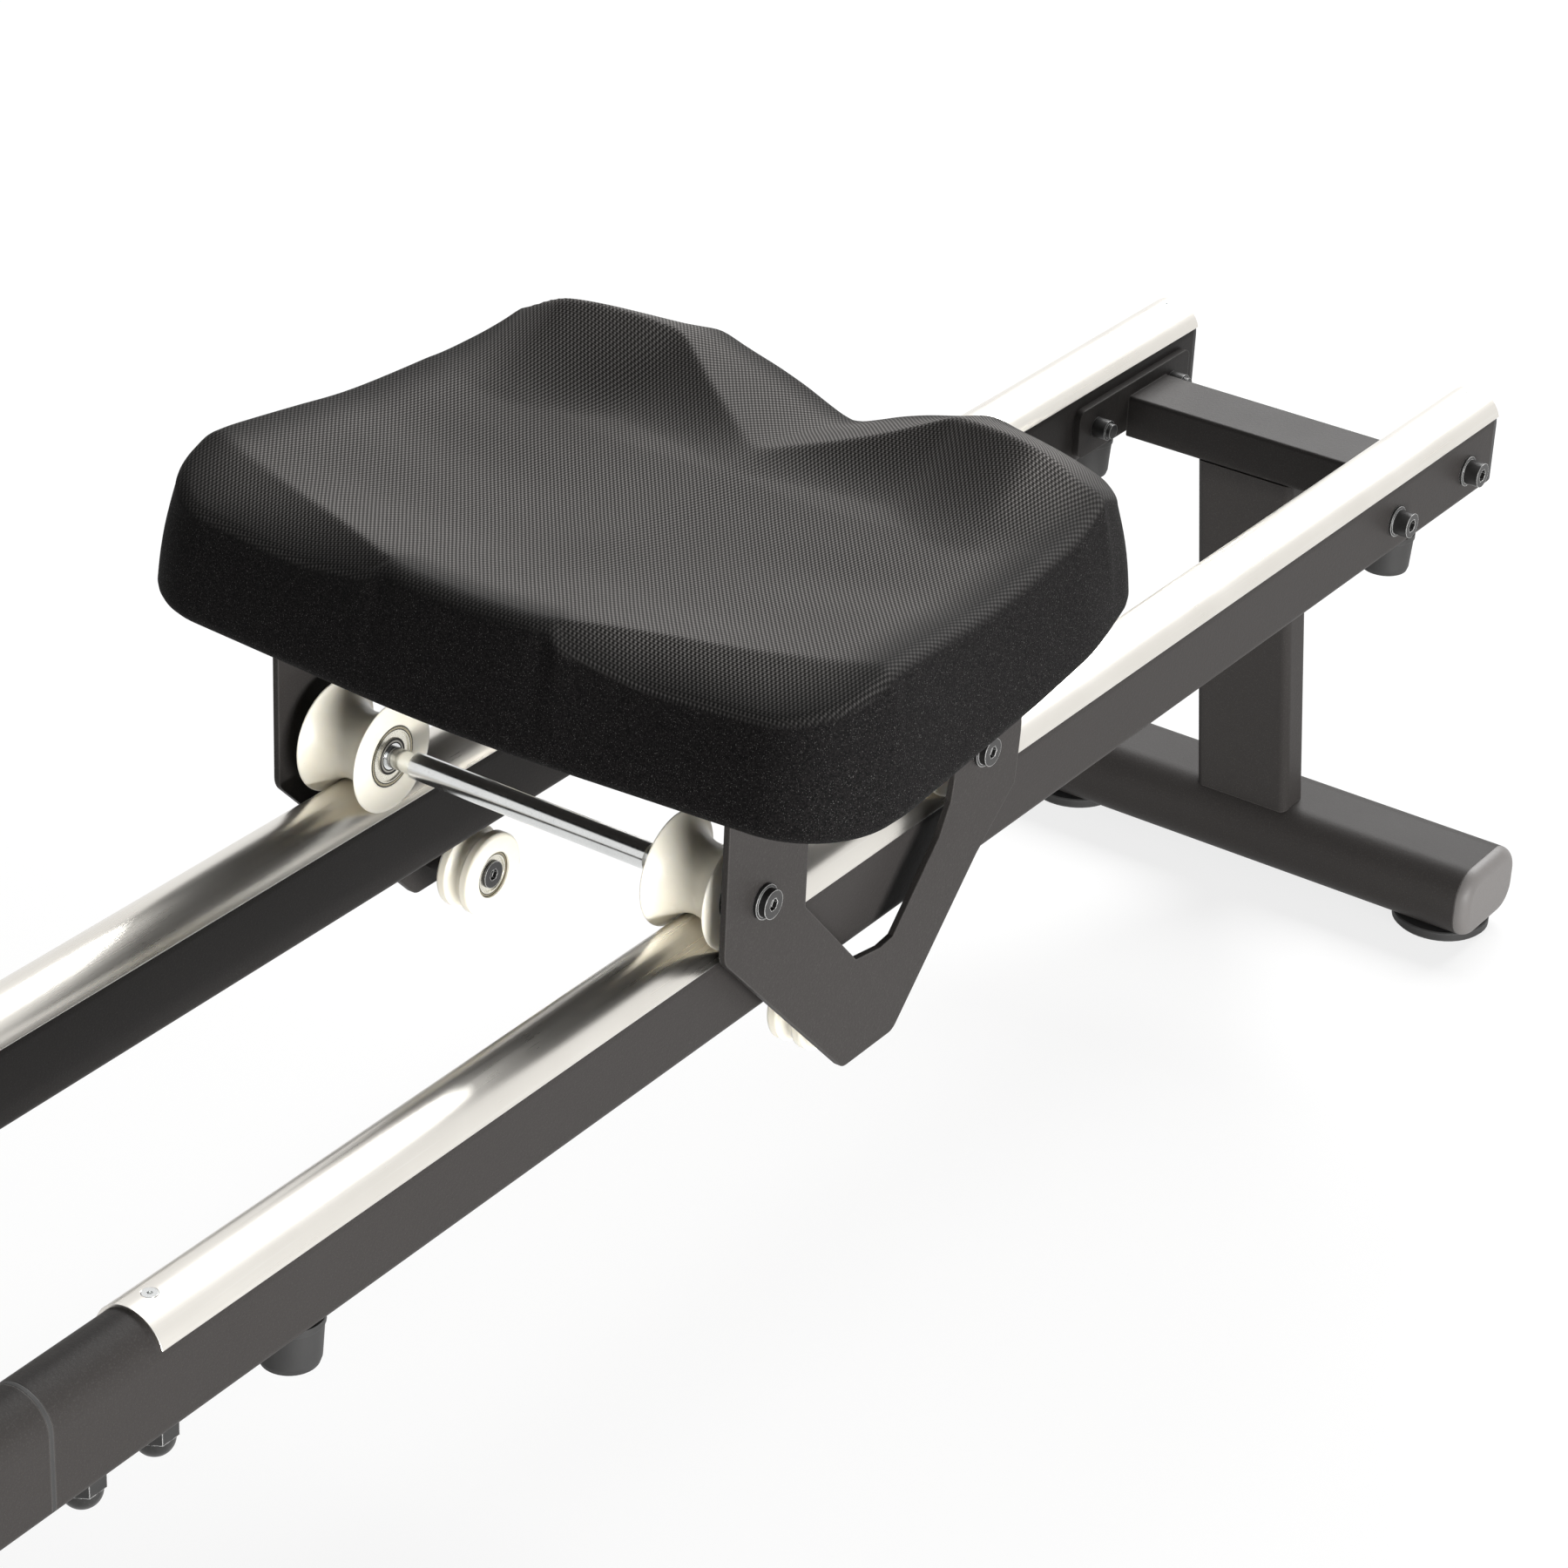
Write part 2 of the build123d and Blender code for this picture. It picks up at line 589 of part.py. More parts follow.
for end, facing in (("rear", 1), ("front", -1)):
    beam_centre = leg_x(end, -BEAM_NEAR - BEAM_WIDTH / 2)
    plate_centre = leg_x(end, -END_PLATE_NEAR - END_PLATE_LENGTH / 2)
    bolt_line = rear_beam_bolts if end == "rear" else front_beam_bolts
    inner_face = RAIL_SPACING - RAIL_RADIUS
    with BuildPart() as beam:
        with BuildSketch(side(inner_face - END_PLATE, beam_centre, BEAM_TOP - BEAM_DEPTH / 2)):
            RectangleRounded(BEAM_WIDTH, BEAM_DEPTH, BEAM_CORNER)
            Rectangle(BEAM_WIDTH - 2 * LEG_WALL, BEAM_DEPTH - 2 * LEG_WALL, mode=Mode.SUBTRACT)
        extrude(amount=2 * (inner_face - END_PLATE))
        for start in (inner_face, END_PLATE - inner_face):
            with BuildSketch(side(start, plate_centre, END_PLATE_TOP - END_PLATE_HEIGHT / 2)):
                RectangleRounded(END_PLATE_LENGTH, END_PLATE_HEIGHT, END_PLATE_CORNER)
            extrude(amount=END_PLATE)
        with BuildSketch(side(inner_face)):
            with Locations(*[(x, BEAM_BOLT_DROP) for x in bolt_line]):
                Circle(BEAM_BOLT_RADIUS + SLIP)
        extrude(amount=2 * inner_face, mode=Mode.SUBTRACT)
    beam.part.label = f"{end}_crossbeam"
    if end == "rear":
        export_step(beam.part, f"parts/{end}_crossbeam.step")

    foot_x = leg_x(end, -FOOT_CENTRE)
    with BuildPart() as foot:
        with BuildSketch(side(FOOT_HALF, foot_x, FOOT_Z)):
            add(FOOT_FACE)
            add(FOOT_BORE, mode=Mode.SUBTRACT)
        extrude(amount=2 * FOOT_HALF)
        with BuildSketch(level(FOOT_Z - FOOT_HEIGHT / 2, foot_x)):
            with Locations((0, PAD_STATION), (0, -PAD_STATION)):
                Circle(PAD_STUD + SLIP)
        extrude(amount=LEG_WALL, mode=Mode.SUBTRACT)
        if end == "front":
            wheel_z = FLOOR + WHEEL_LIFT + WHEEL_RADIUS
            face = FRONT_END - REAR_REACH
            for station in (WHEEL_STATION, -WHEEL_STATION - WHEEL_WIDTH - 2 * GAP):
                for start in (station, station + WHEEL_WIDTH + 2 * GAP + BRACKET):
                    with BuildSketch(side(start, WHEEL_X, wheel_z)):
                        Circle(BRACKET_HALF)
                        with Locations((WHEEL_REACH / 2 + LEG_WALL / 2, (FOOT_Z - wheel_z) / 2)):
                            Rectangle(WHEEL_REACH + LEG_WALL, BRACKET_HALF)
                        Circle(WHEEL_BORE, mode=Mode.SUBTRACT)
                    extrude(amount=BRACKET)
            with BuildSketch(side(FOOT_HALF, foot_x, FOOT_Z)):
                add(FOOT_BORE)
            extrude(amount=2 * FOOT_HALF, mode=Mode.SUBTRACT)
    foot.part.label = f"{end}_foot_tube"
    if end == "rear":
        export_step(foot.part, f"parts/{end}_foot_tube.step")

    tilt = Plane(
        origin=(REAR_X + leg_x(end, lean_top[0]), 0, RAIL_HEIGHT_ABOVE_FLOOR + lean_top[1]),
        x_dir=(0, 1, 0),
        z_dir=(facing * sin(lean), 0, -cos(lean)),
    )
    with BuildPart() as upright:
        with BuildSketch(tilt.offset(-UPRIGHT_DEPTH)):
            RectangleRounded(UPRIGHT_WIDTH, UPRIGHT_DEPTH, UPRIGHT_CORNER)
            RectangleRounded(
                UPRIGHT_WIDTH - 2 * LEG_WALL,
                UPRIGHT_DEPTH - 2 * LEG_WALL,
                UPRIGHT_CORNER - LEG_WALL,
                mode=Mode.SUBTRACT,
            )
        extrude(amount=RAIL_HEIGHT_ABOVE_FLOOR)
        with BuildSketch(level(BEAM_TOP - BEAM_DEPTH, beam_centre)):
            Rectangle(RAIL_HEIGHT_ABOVE_FLOOR, RAIL_HEIGHT_ABOVE_FLOOR)
        extrude(amount=2 * BEAM_DEPTH, mode=Mode.SUBTRACT)
        with BuildSketch(level(FOOT_Z, foot_x)):
            Rectangle(RAIL_HEIGHT_ABOVE_FLOOR, RAIL_HEIGHT_ABOVE_FLOOR)
        extrude(amount=-2 * FOOT_HEIGHT, mode=Mode.SUBTRACT)
        with BuildSketch(side(FOOT_HALF, foot_x, FOOT_Z)):
            add(FOOT_FACE)
        extrude(amount=2 * FOOT_HALF, mode=Mode.SUBTRACT)
    upright.part.label = f"{end}_upright"
    if end == "rear":
        export_step(upright.part, f"parts/{end}_upright.step")

# The front leg is one welded piece
with BuildPart() as front_leg:
    add(beam.part)
    add(upright.part)
    add(foot.part)
front_leg.part.label = "front_leg"
export_step(front_leg.part, "parts/front_leg.step")

with BuildPart() as crossbeam_bolts:
    for name, sign in SIDES:
        for x in rear_beam_bolts + front_beam_bolts:
            outer = sign * (RAIL_SPACING + RAIL_RADIUS)
            inner = sign * (RAIL_SPACING - RAIL_RADIUS - END_PLATE)
            with BuildSketch(side(outer, x, BEAM_BOLT_DROP)):
                Circle(BEAM_WASHER_RADIUS)
            extrude(amount=-sign * BEAM_WASHER)
            with BuildSketch(side(outer + sign * BEAM_WASHER, x, BEAM_BOLT_DROP)):
                Circle(BEAM_HEAD_RADIUS)
            extrude(amount=-sign * BEAM_HEAD)
            with BuildSketch(side(outer + sign * (BEAM_WASHER + BEAM_HEAD), x, BEAM_BOLT_DROP)):
                RegularPolygon(HEX_KEY / 2, 6, major_radius=False)
            extrude(amount=sign * KEY_DEPTH, mode=Mode.SUBTRACT)
            with BuildSketch(side(outer, x, BEAM_BOLT_DROP)):
                Circle(BEAM_BOLT_RADIUS)
            extrude(amount=sign * (2 * RAIL_RADIUS + END_PLATE + BEAM_NUT + BOLT_TAIL))
            with BuildSketch(side(inner, x, BEAM_BOLT_DROP)):
                Circle(BEAM_NUT_RADIUS)
            extrude(amount=sign * BEAM_NUT)
crossbeam_bolts.part.label = "crossbeam_bolts"
export_step(crossbeam_bolts.part, "parts/crossbeam_bolts.step")

with BuildPart() as foot_tube_caps:
    for end in ("rear", "front"):
        for sign in (1, -1):
            with BuildSketch(side(sign * FOOT_HALF, leg_x(end, -FOOT_CENTRE), FOOT_Z)):
                add(FOOT_FACE)
            extrude(amount=-sign * FOOT_DOME)
            rim = foot_tube_caps.faces().filter_by(Axis.Y).sort_by(Axis.Y)
            outer = [f for f in rim if abs(abs(f.center().Y) - FOOT_HALF - FOOT_DOME) < SLIP]
            foot_x = REAR_X + leg_x(end, -FOOT_CENTRE)
            here = [f for f in outer if f.center().Y * sign > 0 and abs(f.center().X - foot_x) < SLIP]
            fillet(here[0].outer_wire().edges(), FOOT_DOME - GAP)
            with BuildSketch(side(sign * FOOT_HALF, leg_x(end, -FOOT_CENTRE), FOOT_Z)):
                add(FOOT_PLUG)
            extrude(amount=sign * CAP_PLUG)
foot_tube_caps.part.label = "foot_tube_caps"
export_step(foot_tube_caps.part, "parts/foot_tube_caps.step")

with BuildPart() as foot_pads:
    for end in ("rear", "front"):
        for sign in (1, -1):
            x = leg_x(end, -FOOT_CENTRE)
            outline = (
                (0, FLOOR), (PAD_RADIUS - PAD_ROUND, FLOOR), (PAD_RADIUS, FLOOR + PAD_ROUND),
                (PAD_RADIUS, FLOOR + PAD_THICKNESS - PAD_ROUND / 2),
                (PAD_RADIUS - PAD_ROUND / 2, FLOOR + PAD_THICKNESS),
                (PAD_STUD, FLOOR + PAD_THICKNESS), (PAD_STUD, FLOOR + PAD_THICKNESS + PAD_STUD_LENGTH),
                (0, FLOOR + PAD_THICKNESS + PAD_STUD_LENGTH),
            )
            add(turned(outline, side(sign * PAD_STATION, x), line_z(x, sign * PAD_STATION)))
foot_pads.part.label = "foot_pads"
export_step(foot_pads.part, "parts/foot_pads.step")

with BuildPart() as rail_bumpers:
    for name, sign in SIDES:
        for x in BUMPERS:
            low = -RAIL_DEPTH - BUMPER_LENGTH
            outline = (
                (0, low), (BUMPER_TIP_RADIUS - BUMPER_ROUND, low),
                (BUMPER_TIP_RADIUS - BUMPER_ROUND / 4, low + BUMPER_ROUND / 4),
                (BUMPER_TIP_RADIUS, low + BUMPER_ROUND),
                (BUMPER_TOP_RADIUS, -RAIL_DEPTH - BUMPER_FLANGE),
                (BUMPER_FLANGE_RADIUS, -RAIL_DEPTH - BUMPER_FLANGE),
                (BUMPER_FLANGE_RADIUS, -RAIL_DEPTH), (BUMPER_STUD, -RAIL_DEPTH),
                (BUMPER_STUD, -RAIL_DEPTH + BUMPER_STUD_LENGTH), (0, -RAIL_DEPTH + BUMPER_STUD_LENGTH),
            )
            add(turned(outline, side(sign * RAIL_SPACING, x), line_z(x, sign * RAIL_SPACING)))
rail_bumpers.part.label = "rail_bumpers"
export_step(rail_bumpers.part, "parts/rail_bumpers.step")

# Seat carriage: side plates with a window, an inward flange and a boss for the lower roller
inner_plate = PLATE_FACE - PLATE
for name, sign in SIDES:
    with BuildPart() as plate:
        with BuildSketch(side(sign * inner_plate)) as blank:
            with BuildLine():
                Polyline(
                    (PLATE_OUTLINE[0][0], PLATE_TOP), *PLATE_OUTLINE,
                    (PLATE_OUTLINE[-1][0], PLATE_TOP), close=True,
                )
            make_face()
            for (x, z), bend in zip(PLATE_OUTLINE, (PLATE_ROUND, PLATE_FOOT_ROUND, PLATE_FOOT_ROUND)):
                fillet([blank.vertices().sort_by_distance((x, z, 0))[0]], bend)
            with BuildLine():
                Polyline(
                    (WINDOW_OUTLINE[0][0], WINDOW_TOP), *WINDOW_OUTLINE,
                    (WINDOW_OUTLINE[-1][0], WINDOW_TOP), close=True,
                )
            make_face(mode=Mode.SUBTRACT)
            with Locations(*[(x, AXLE_HEIGHT) for x in AXLES]):
                Circle(AXLE_TAP_RADIUS + SLIP, mode=Mode.SUBTRACT)
        extrude(amount=-sign * PLATE)
        flange_y = sign * (PLATE_FACE - FLANGE_WIDTH / 2)
        with BuildSketch(level(PLATE_TOP, (PAN_FRONT + PAN_REAR) / 2, flange_y)):
            Rectangle(PAN_REAR - PAN_FRONT, FLANGE_WIDTH)
        extrude(amount=-PLATE)
        boss_face = RAIL_SPACING + LOWER_ROLLER_WIDTH / 2 + GAP
        with BuildSketch(side(sign * boss_face, *LOWER_ROLLER_AT)):
            Circle(LOWER_BOSS_RADIUS)
        extrude(amount=-sign * (inner_plate - boss_face))
        with BuildSketch(side(sign * boss_face, *LOWER_ROLLER_AT)):
            Circle(LOWER_BOLT_RADIUS)
        extrude(amount=-sign * (inner_plate - boss_face), mode=Mode.SUBTRACT)
        with BuildSketch(level(PLATE_TOP, 0, sign * (PLATE_FACE - FLANGE_WIDTH / 2))):
            with Locations(*[(x, 0) for x in PAN_SCREWS]):
                Circle(PAN_SCREW_RADIUS + SLIP)
        extrude(amount=-PLATE, mode=Mode.SUBTRACT)
    plate.part.label = f"carriage_plate_{name}"
    export_step(plate.part, f"parts/carriage_plate_{name}.step")

with BuildPart() as seat_pan:
    with BuildSketch(level(PLATE_TOP, (PAN_FRONT + PAN_REAR) / 2)):
        Rectangle(PAN_REAR - PAN_FRONT, 2 * PLATE_FACE)
    extrude(amount=SEAT_BASE - PLATE_TOP)
    for name, sign in SIDES:
        with BuildSketch(level(PLATE_TOP, 0, sign * (PLATE_FACE - FLANGE_WIDTH / 2))):
            with Locations(*[(x, 0) for x in PAN_SCREWS]):
                Circle(PAN_SCREW_RADIUS)
        extrude(amount=-2 * PLATE)
        with BuildSketch(level(PLATE_TOP - PLATE, 0, sign * (PLATE_FACE - FLANGE_WIDTH / 2))):
            with Locations(*[(x, 0) for x in PAN_SCREWS]):
                Circle(2 * PAN_SCREW_RADIUS)
        extrude(amount=-PLATE)
seat_pan.part.label = "seat_pan"
export_step(seat_pan.part, "parts/seat_pan.step")

# Rods turned down to a neck beside each roller and tapped at their ends
with BuildPart() as seat_axles:
    for x in AXLES:
        with BuildSketch(side(inner_plate, x, AXLE_HEIGHT)):
            Circle(AXLE_RADIUS)
        extrude(amount=2 * inner_plate)
        for sign in (1, -1):
            with BuildSketch(side(sign * AXLE_NECK_AT, x, AXLE_HEIGHT)):
                Circle(2 * AXLE_RADIUS)
                Circle(AXLE_NECK, mode=Mode.SUBTRACT)
            extrude(amount=-sign * AXLE_NECK_LENGTH, mode=Mode.SUBTRACT)
            with BuildSketch(side(sign * inner_plate, x, AXLE_HEIGHT)):
                Circle(AXLE_TAP_RADIUS)
            extrude(amount=sign * AXLE_TAP_DEPTH, mode=Mode.SUBTRACT)
seat_axles.part.label = "seat_axles"
export_step(seat_axles.part, "parts/seat_axles.step")

roller_edge = RAIL_SPACING + ROLLER_WIDTH / 2
with BuildPart() as axle_spacers:
    for sign in (1, -1):
        for x in AXLES:
            with BuildSketch(side(sign * roller_edge, x, AXLE_HEIGHT)):
                Circle(SPACER_RADIUS)
                Circle(AXLE_RADIUS, mode=Mode.SUBTRACT)
            extrude(amount=-sign * (inner_plate - roller_edge))
axle_spacers.part.label = "axle_spacers"
export_step(axle_spacers.part, "parts/axle_spacers.step")

with BuildPart() as axle_screws:
    for sign in (1, -1):
        for x in AXLES:
            with BuildSketch(side(sign * PLATE_FACE, x, AXLE_HEIGHT)):
                Circle(SCREW_WASHER_RADIUS)
            extrude(amount=-sign * SCREW_WASHER)
            with BuildSketch(side(sign * (PLATE_FACE + SCREW_WASHER), x, AXLE_HEIGHT)):
                Circle(SCREW_HEAD_RADIUS)
            extrude(amount=-sign * SCREW_HEAD)
            with BuildSketch(side(sign * (PLATE_FACE + SCREW_WASHER + SCREW_HEAD), x, AXLE_HEIGHT)):
                RegularPolygon(SCREW_KEY / 2, 6, major_radius=False)
            extrude(amount=sign * SCREW_KEY_DEPTH, mode=Mode.SUBTRACT)
            with BuildSketch(side(sign * PLATE_FACE, x, AXLE_HEIGHT)):
                Circle(AXLE_TAP_RADIUS)
            extrude(amount=sign * (PLATE + AXLE_TAP_DEPTH - GAP))
axle_screws.part.label = "axle_screws"
export_step(axle_screws.part, "parts/axle_screws.step")


def bearing_outline(start, width, outer, bore):
    """Half section of a shielded bearing: rings at full width and shields set in."""
    shield_out = outer - BEARING_OUTER_RING
    shield_in = bore + BEARING_INNER_RING
    low, high = start, start + width
    return (
        (low, bore), (low, shield_in), (low + SHIELD_INSET, shield_in), (low + SHIELD_INSET, shield_out),
        (low, shield_out), (low, outer), (high, outer), (high, shield_out),
        (high - SHIELD_INSET, shield_out),
        (high - SHIELD_INSET, shield_in), (high, shield_in), (high, bore),
    )


with BuildPart() as upper_bearings:
    for sign in (1, -1):
        for x in AXLES:
            for start in (-ROLLER_WIDTH / 2, ROLLER_WIDTH / 2 - BEARING_WIDTH):
                outline = bearing_outline(start, BEARING_WIDTH, BEARING_RADIUS, AXLE_RADIUS)
                add(turned(outline, across(x, sign * RAIL_SPACING, AXLE_HEIGHT), line_y(x, AXLE_HEIGHT)))
upper_bearings.part.label = "upper_bearings"
export_step(upper_bearings.part, "parts/upper_bearings.step")

with BuildPart() as lower_bearings:
    for sign in (1, -1):
        start = -LOWER_BEARING_WIDTH / 2
        outline = bearing_outline(start, LOWER_BEARING_WIDTH, LOWER_BEARING_RADIUS, LOWER_BOLT_RADIUS)
        here = across(LOWER_ROLLER_AT[0], sign * RAIL_SPACING, LOWER_ROLLER_AT[1])
        add(turned(outline, here, line_y(*LOWER_ROLLER_AT)))
lower_bearings.part.label = "lower_bearings"
export_step(lower_bearings.part, "parts/lower_bearings.step")

# Hourglass rollers that ride on the strips
groove = RAIL_RADIUS + STRIP_WALL + GAP


def groove_radius(offset):
    """Distance from the roller axle to its groove at a distance from the roller's middle."""
    return AXLE_HEIGHT - sqrt(groove ** 2 - offset ** 2)


for place, x in zip(("front", "rear"), AXLES):
    for name, sign in SIDES:
        half = ROLLER_WIDTH / 2
        seat = BEARING_RADIUS + RUNNING
        crest = half - 2 * GAP
        mouth = half - 5 * GAP
        web = half - BEARING_WIDTH - GAP
        crown = ROLLER_RADIUS
        with BuildPart() as roller:
            with BuildSketch(across(x, sign * RAIL_SPACING, AXLE_HEIGHT)):
                with BuildLine():
                    rise = groove_radius(mouth)
                    ThreePointArc((-mouth, rise), (0, groove_radius(0)), (mouth, rise))
                    Polyline(
                        (mouth, rise), (crest, crown), (half - GAP, crown), (half, crown - ROLLER_EDGE),
                        (half, seat), (web, seat), (web, ROLLER_WEB_BORE), (-web, ROLLER_WEB_BORE),
                        (-web, seat), (-half, seat), (-half, crown - ROLLER_EDGE), (GAP - half, crown),
                        (-crest, crown), (-mouth, rise),
                    )
                make_face()
            revolve(axis=line_y(x, AXLE_HEIGHT))
        roller.part.label = f"upper_roller_{place}_{name}"
        export_step(roller.part, f"parts/upper_roller_{place}_{name}.step")

# Small rollers under the rails
for name, sign in SIDES:
    half = LOWER_ROLLER_WIDTH / 2
    seat = LOWER_BEARING_RADIUS + RUNNING
    rim = LOWER_ROLLER_RADIUS
    bend = LOWER_ROLLER_ROUND
    mouth = half - LOWER_ROLLER_RIM
    with BuildPart() as roller:
        with BuildSketch(across(LOWER_ROLLER_AT[0], sign * RAIL_SPACING, LOWER_ROLLER_AT[1])):
            with BuildLine():
                ThreePointArc((-mouth, rim), (0, rim - LOWER_ROLLER_GROOVE), (mouth, rim))
                Line((mouth, rim), (half - bend, rim))
                ThreePointArc((half - bend, rim), (half - bend / 4, rim - bend / 4), (half, rim - bend))
                Polyline((half, rim - bend), (half, seat), (-half, seat), (-half, rim - bend))
                ThreePointArc((-half, rim - bend), (bend / 4 - half, rim - bend / 4), (bend - half, rim))
                Line((bend - half, rim), (-mouth, rim))
            make_face()
        revolve(axis=line_y(*LOWER_ROLLER_AT))
    roller.part.label = f"lower_roller_{name}"
    export_step(roller.part, f"parts/lower_roller_{name}.step")

with BuildPart() as lower_roller_bolts:
    for sign in (1, -1):
        bearing_in = RAIL_SPACING - LOWER_BEARING_WIDTH / 2
        bearing_out = RAIL_SPACING + LOWER_BEARING_WIDTH / 2
        with BuildSketch(side(sign * bearing_in, *LOWER_ROLLER_AT)):
            Circle(SCREW_HEAD_RADIUS)
        extrude(amount=sign * LOWER_BOLT_HEAD)
        with BuildSketch(side(sign * bearing_in, *LOWER_ROLLER_AT)):
            Circle(LOWER_BOLT_RADIUS)
        extrude(amount=-sign * (inner_plate - bearing_in - GAP))
        with BuildSketch(side(sign * (bearing_in - LOWER_BOLT_HEAD), *LOWER_ROLLER_AT)):
            RegularPolygon(SCREW_KEY / 2, 6, major_radius=False)
        extrude(amount=-sign * SCREW_KEY_DEPTH, mode=Mode.SUBTRACT)
        with BuildSketch(side(sign * bearing_out, *LOWER_ROLLER_AT)):
            Circle(SCREW_HEAD_RADIUS)
        extrude(amount=-sign * (boss_face - bearing_out))
lower_roller_bolts.part.label = "lower_roller_bolts"
export_step(lower_roller_bolts.part, "parts/lower_roller_bolts.step")

# Seat cushion: sections from front to rear, each a closed outline of lines; its skirt hides the pan
skirt = SEAT_BASE + GAP - SEAT_SKIRT
with BuildPart() as seat_cushion:
    for x, half, heights in SEAT_STATIONS:
        top = [(share * half, height) for share, height in zip(SEAT_SHARES, heights)]
        edge_z = heights[-1]
        right = top + [
            (half - SEAT_INSET / 2, edge_z - SEAT_TOP_ROUND / 2),
            (half - SEAT_INSET / 4, edge_z - 2 * SEAT_TOP_ROUND),
            (half, skirt + SEAT_FOOT_ROUND), (half - SEAT_FOOT_ROUND, skirt),
        ]
        left = [(-y, z) for y, z in reversed(right) if y > 0]
        with BuildSketch(across(x)):
            with BuildLine():
                Polyline(*right, *left, close=True)
            make_face()
    loft()
    with BuildSketch(level(skirt - SEAT_SKIRT, (PAN_FRONT + PAN_REAR) / 2)):
        Rectangle(PAN_REAR - PAN_FRONT + 2 * SEAT_POCKET_ROOM, 2 * (PLATE_FACE + SEAT_POCKET_ROOM))
    extrude(amount=2 * SEAT_SKIRT, mode=Mode.SUBTRACT)
seat_cushion.part.label = "seat_cushion"
export_step(seat_cushion.part, "parts/seat_cushion.step")

# Tank tray on the front tubes
tray_top = RAIL_RADIUS + TRAY
with BuildPart() as tank_tray:
    with BuildSketch(level(RAIL_RADIUS, TANK_AT)):
        RectangleRounded(TRAY_LENGTH, 2 * TRAY_HALF, END_PLATE_CORNER)
    extrude(amount=TRAY)
tank_tray.part.label = "tank_tray"
export_step(tank_tray.part, "parts/tank_tray.step")

seam = tray_top + TANK_LOWER_HEIGHT
upper_foot = seam + GAP
tank_top = upper_foot + TANK_UPPER_HEIGHT
lid = tank_top - TANK_WALL
belt_height = tank_top + DRIVE_PLATE + DRUM_RISE + DRUM_FLANGE + DRUM_CHANNEL / 2

# Lower shell: a bowl with a pocket for the pivot bearing, a flange and a seal groove
with BuildPart() as tank_lower:
    floor_in = tray_top + TANK_WALL
    inner = TANK_RADIUS - TANK_WALL
    outline = (
        (0, tray_top), (TANK_RADIUS - TANK_ROUND, tray_top), (TANK_RADIUS, tray_top + TANK_ROUND),
        (TANK_RADIUS, seam - TANK_FLANGE), (TANK_FLANGE_RADIUS, seam - TANK_FLANGE),
        (TANK_FLANGE_RADIUS, seam),
        (SEAL_OUTER, seam), (SEAL_OUTER, seam - SEAL), (SEAL_INNER, seam - SEAL), (SEAL_INNER, seam),
        (inner, seam),
        (inner, floor_in + TANK_ROUND - TANK_WALL / 2), (inner - TANK_ROUND + TANK_WALL / 2, floor_in),
        (SHAFT_HOUSING_RADIUS, floor_in), (SHAFT_HOUSING_RADIUS, floor_in + SHAFT_BEARING_WIDTH),
        (SHAFT_BEARING_RADIUS, floor_in + SHAFT_BEARING_WIDTH), (SHAFT_BEARING_RADIUS, floor_in),
        (0, floor_in),
    )
    add(turned(outline, side(0, TANK_AT), line_z(TANK_AT)))
    with BuildSketch(level(seam, TANK_AT)):
        with PolarLocations(TANK_BOLT_CIRCLE, TANK_BOLT_COUNT):
            Circle(TANK_BOLT_RADIUS + SLIP)
    extrude(amount=-TANK_FLANGE, mode=Mode.SUBTRACT)
tank_lower.part.label = "tank_lower"
export_step(tank_lower.part, "parts/tank_lower.step")

with BuildPart() as tank_upper:
    inner = TANK_RADIUS - TANK_WALL
    outline = (
        (SHAFT_RADIUS + GAP, lid), (SHAFT_RADIUS + GAP, tank_top), (SHAFT_BEARING_RADIUS, tank_top),
        (SHAFT_BEARING_RADIUS, tank_top + SHAFT_BEARING_WIDTH),
        (SHAFT_HOUSING_RADIUS, tank_top + SHAFT_BEARING_WIDTH),
        (SHAFT_HOUSING_RADIUS, tank_top), (TANK_RADIUS - TANK_ROUND, tank_top),
        (TANK_RADIUS, tank_top - TANK_ROUND),
        (TANK_RADIUS, upper_foot + TANK_FLANGE), (TANK_FLANGE_RADIUS, upper_foot + TANK_FLANGE),
        (TANK_FLANGE_RADIUS, upper_foot), (inner, upper_foot),
        (inner, tank_top - TANK_ROUND - TANK_WALL / 2),
        (inner - TANK_ROUND + TANK_WALL / 2, lid),
    )
    add(turned(outline, side(0, TANK_AT), line_z(TANK_AT)))
    with BuildSketch(level(upper_foot, TANK_AT)):
        with PolarLocations(TANK_BOLT_CIRCLE, TANK_BOLT_COUNT):
            Circle(TANK_BOLT_RADIUS + SLIP)
    extrude(amount=TANK_FLANGE, mode=Mode.SUBTRACT)
tank_upper.part.label = "tank_upper"
export_step(tank_upper.part, "parts/tank_upper.step")

with BuildPart() as tank_seal:
    low = seam - SEAL
    outline = ((SEAL_INNER, low), (SEAL_OUTER, low), (SEAL_OUTER, upper_foot), (SEAL_INNER, upper_foot))
    add(turned(outline, side(0, TANK_AT), line_z(TANK_AT)))
tank_seal.part.label = "tank_seal"
export_step(tank_seal.part, "parts/tank_seal.step")

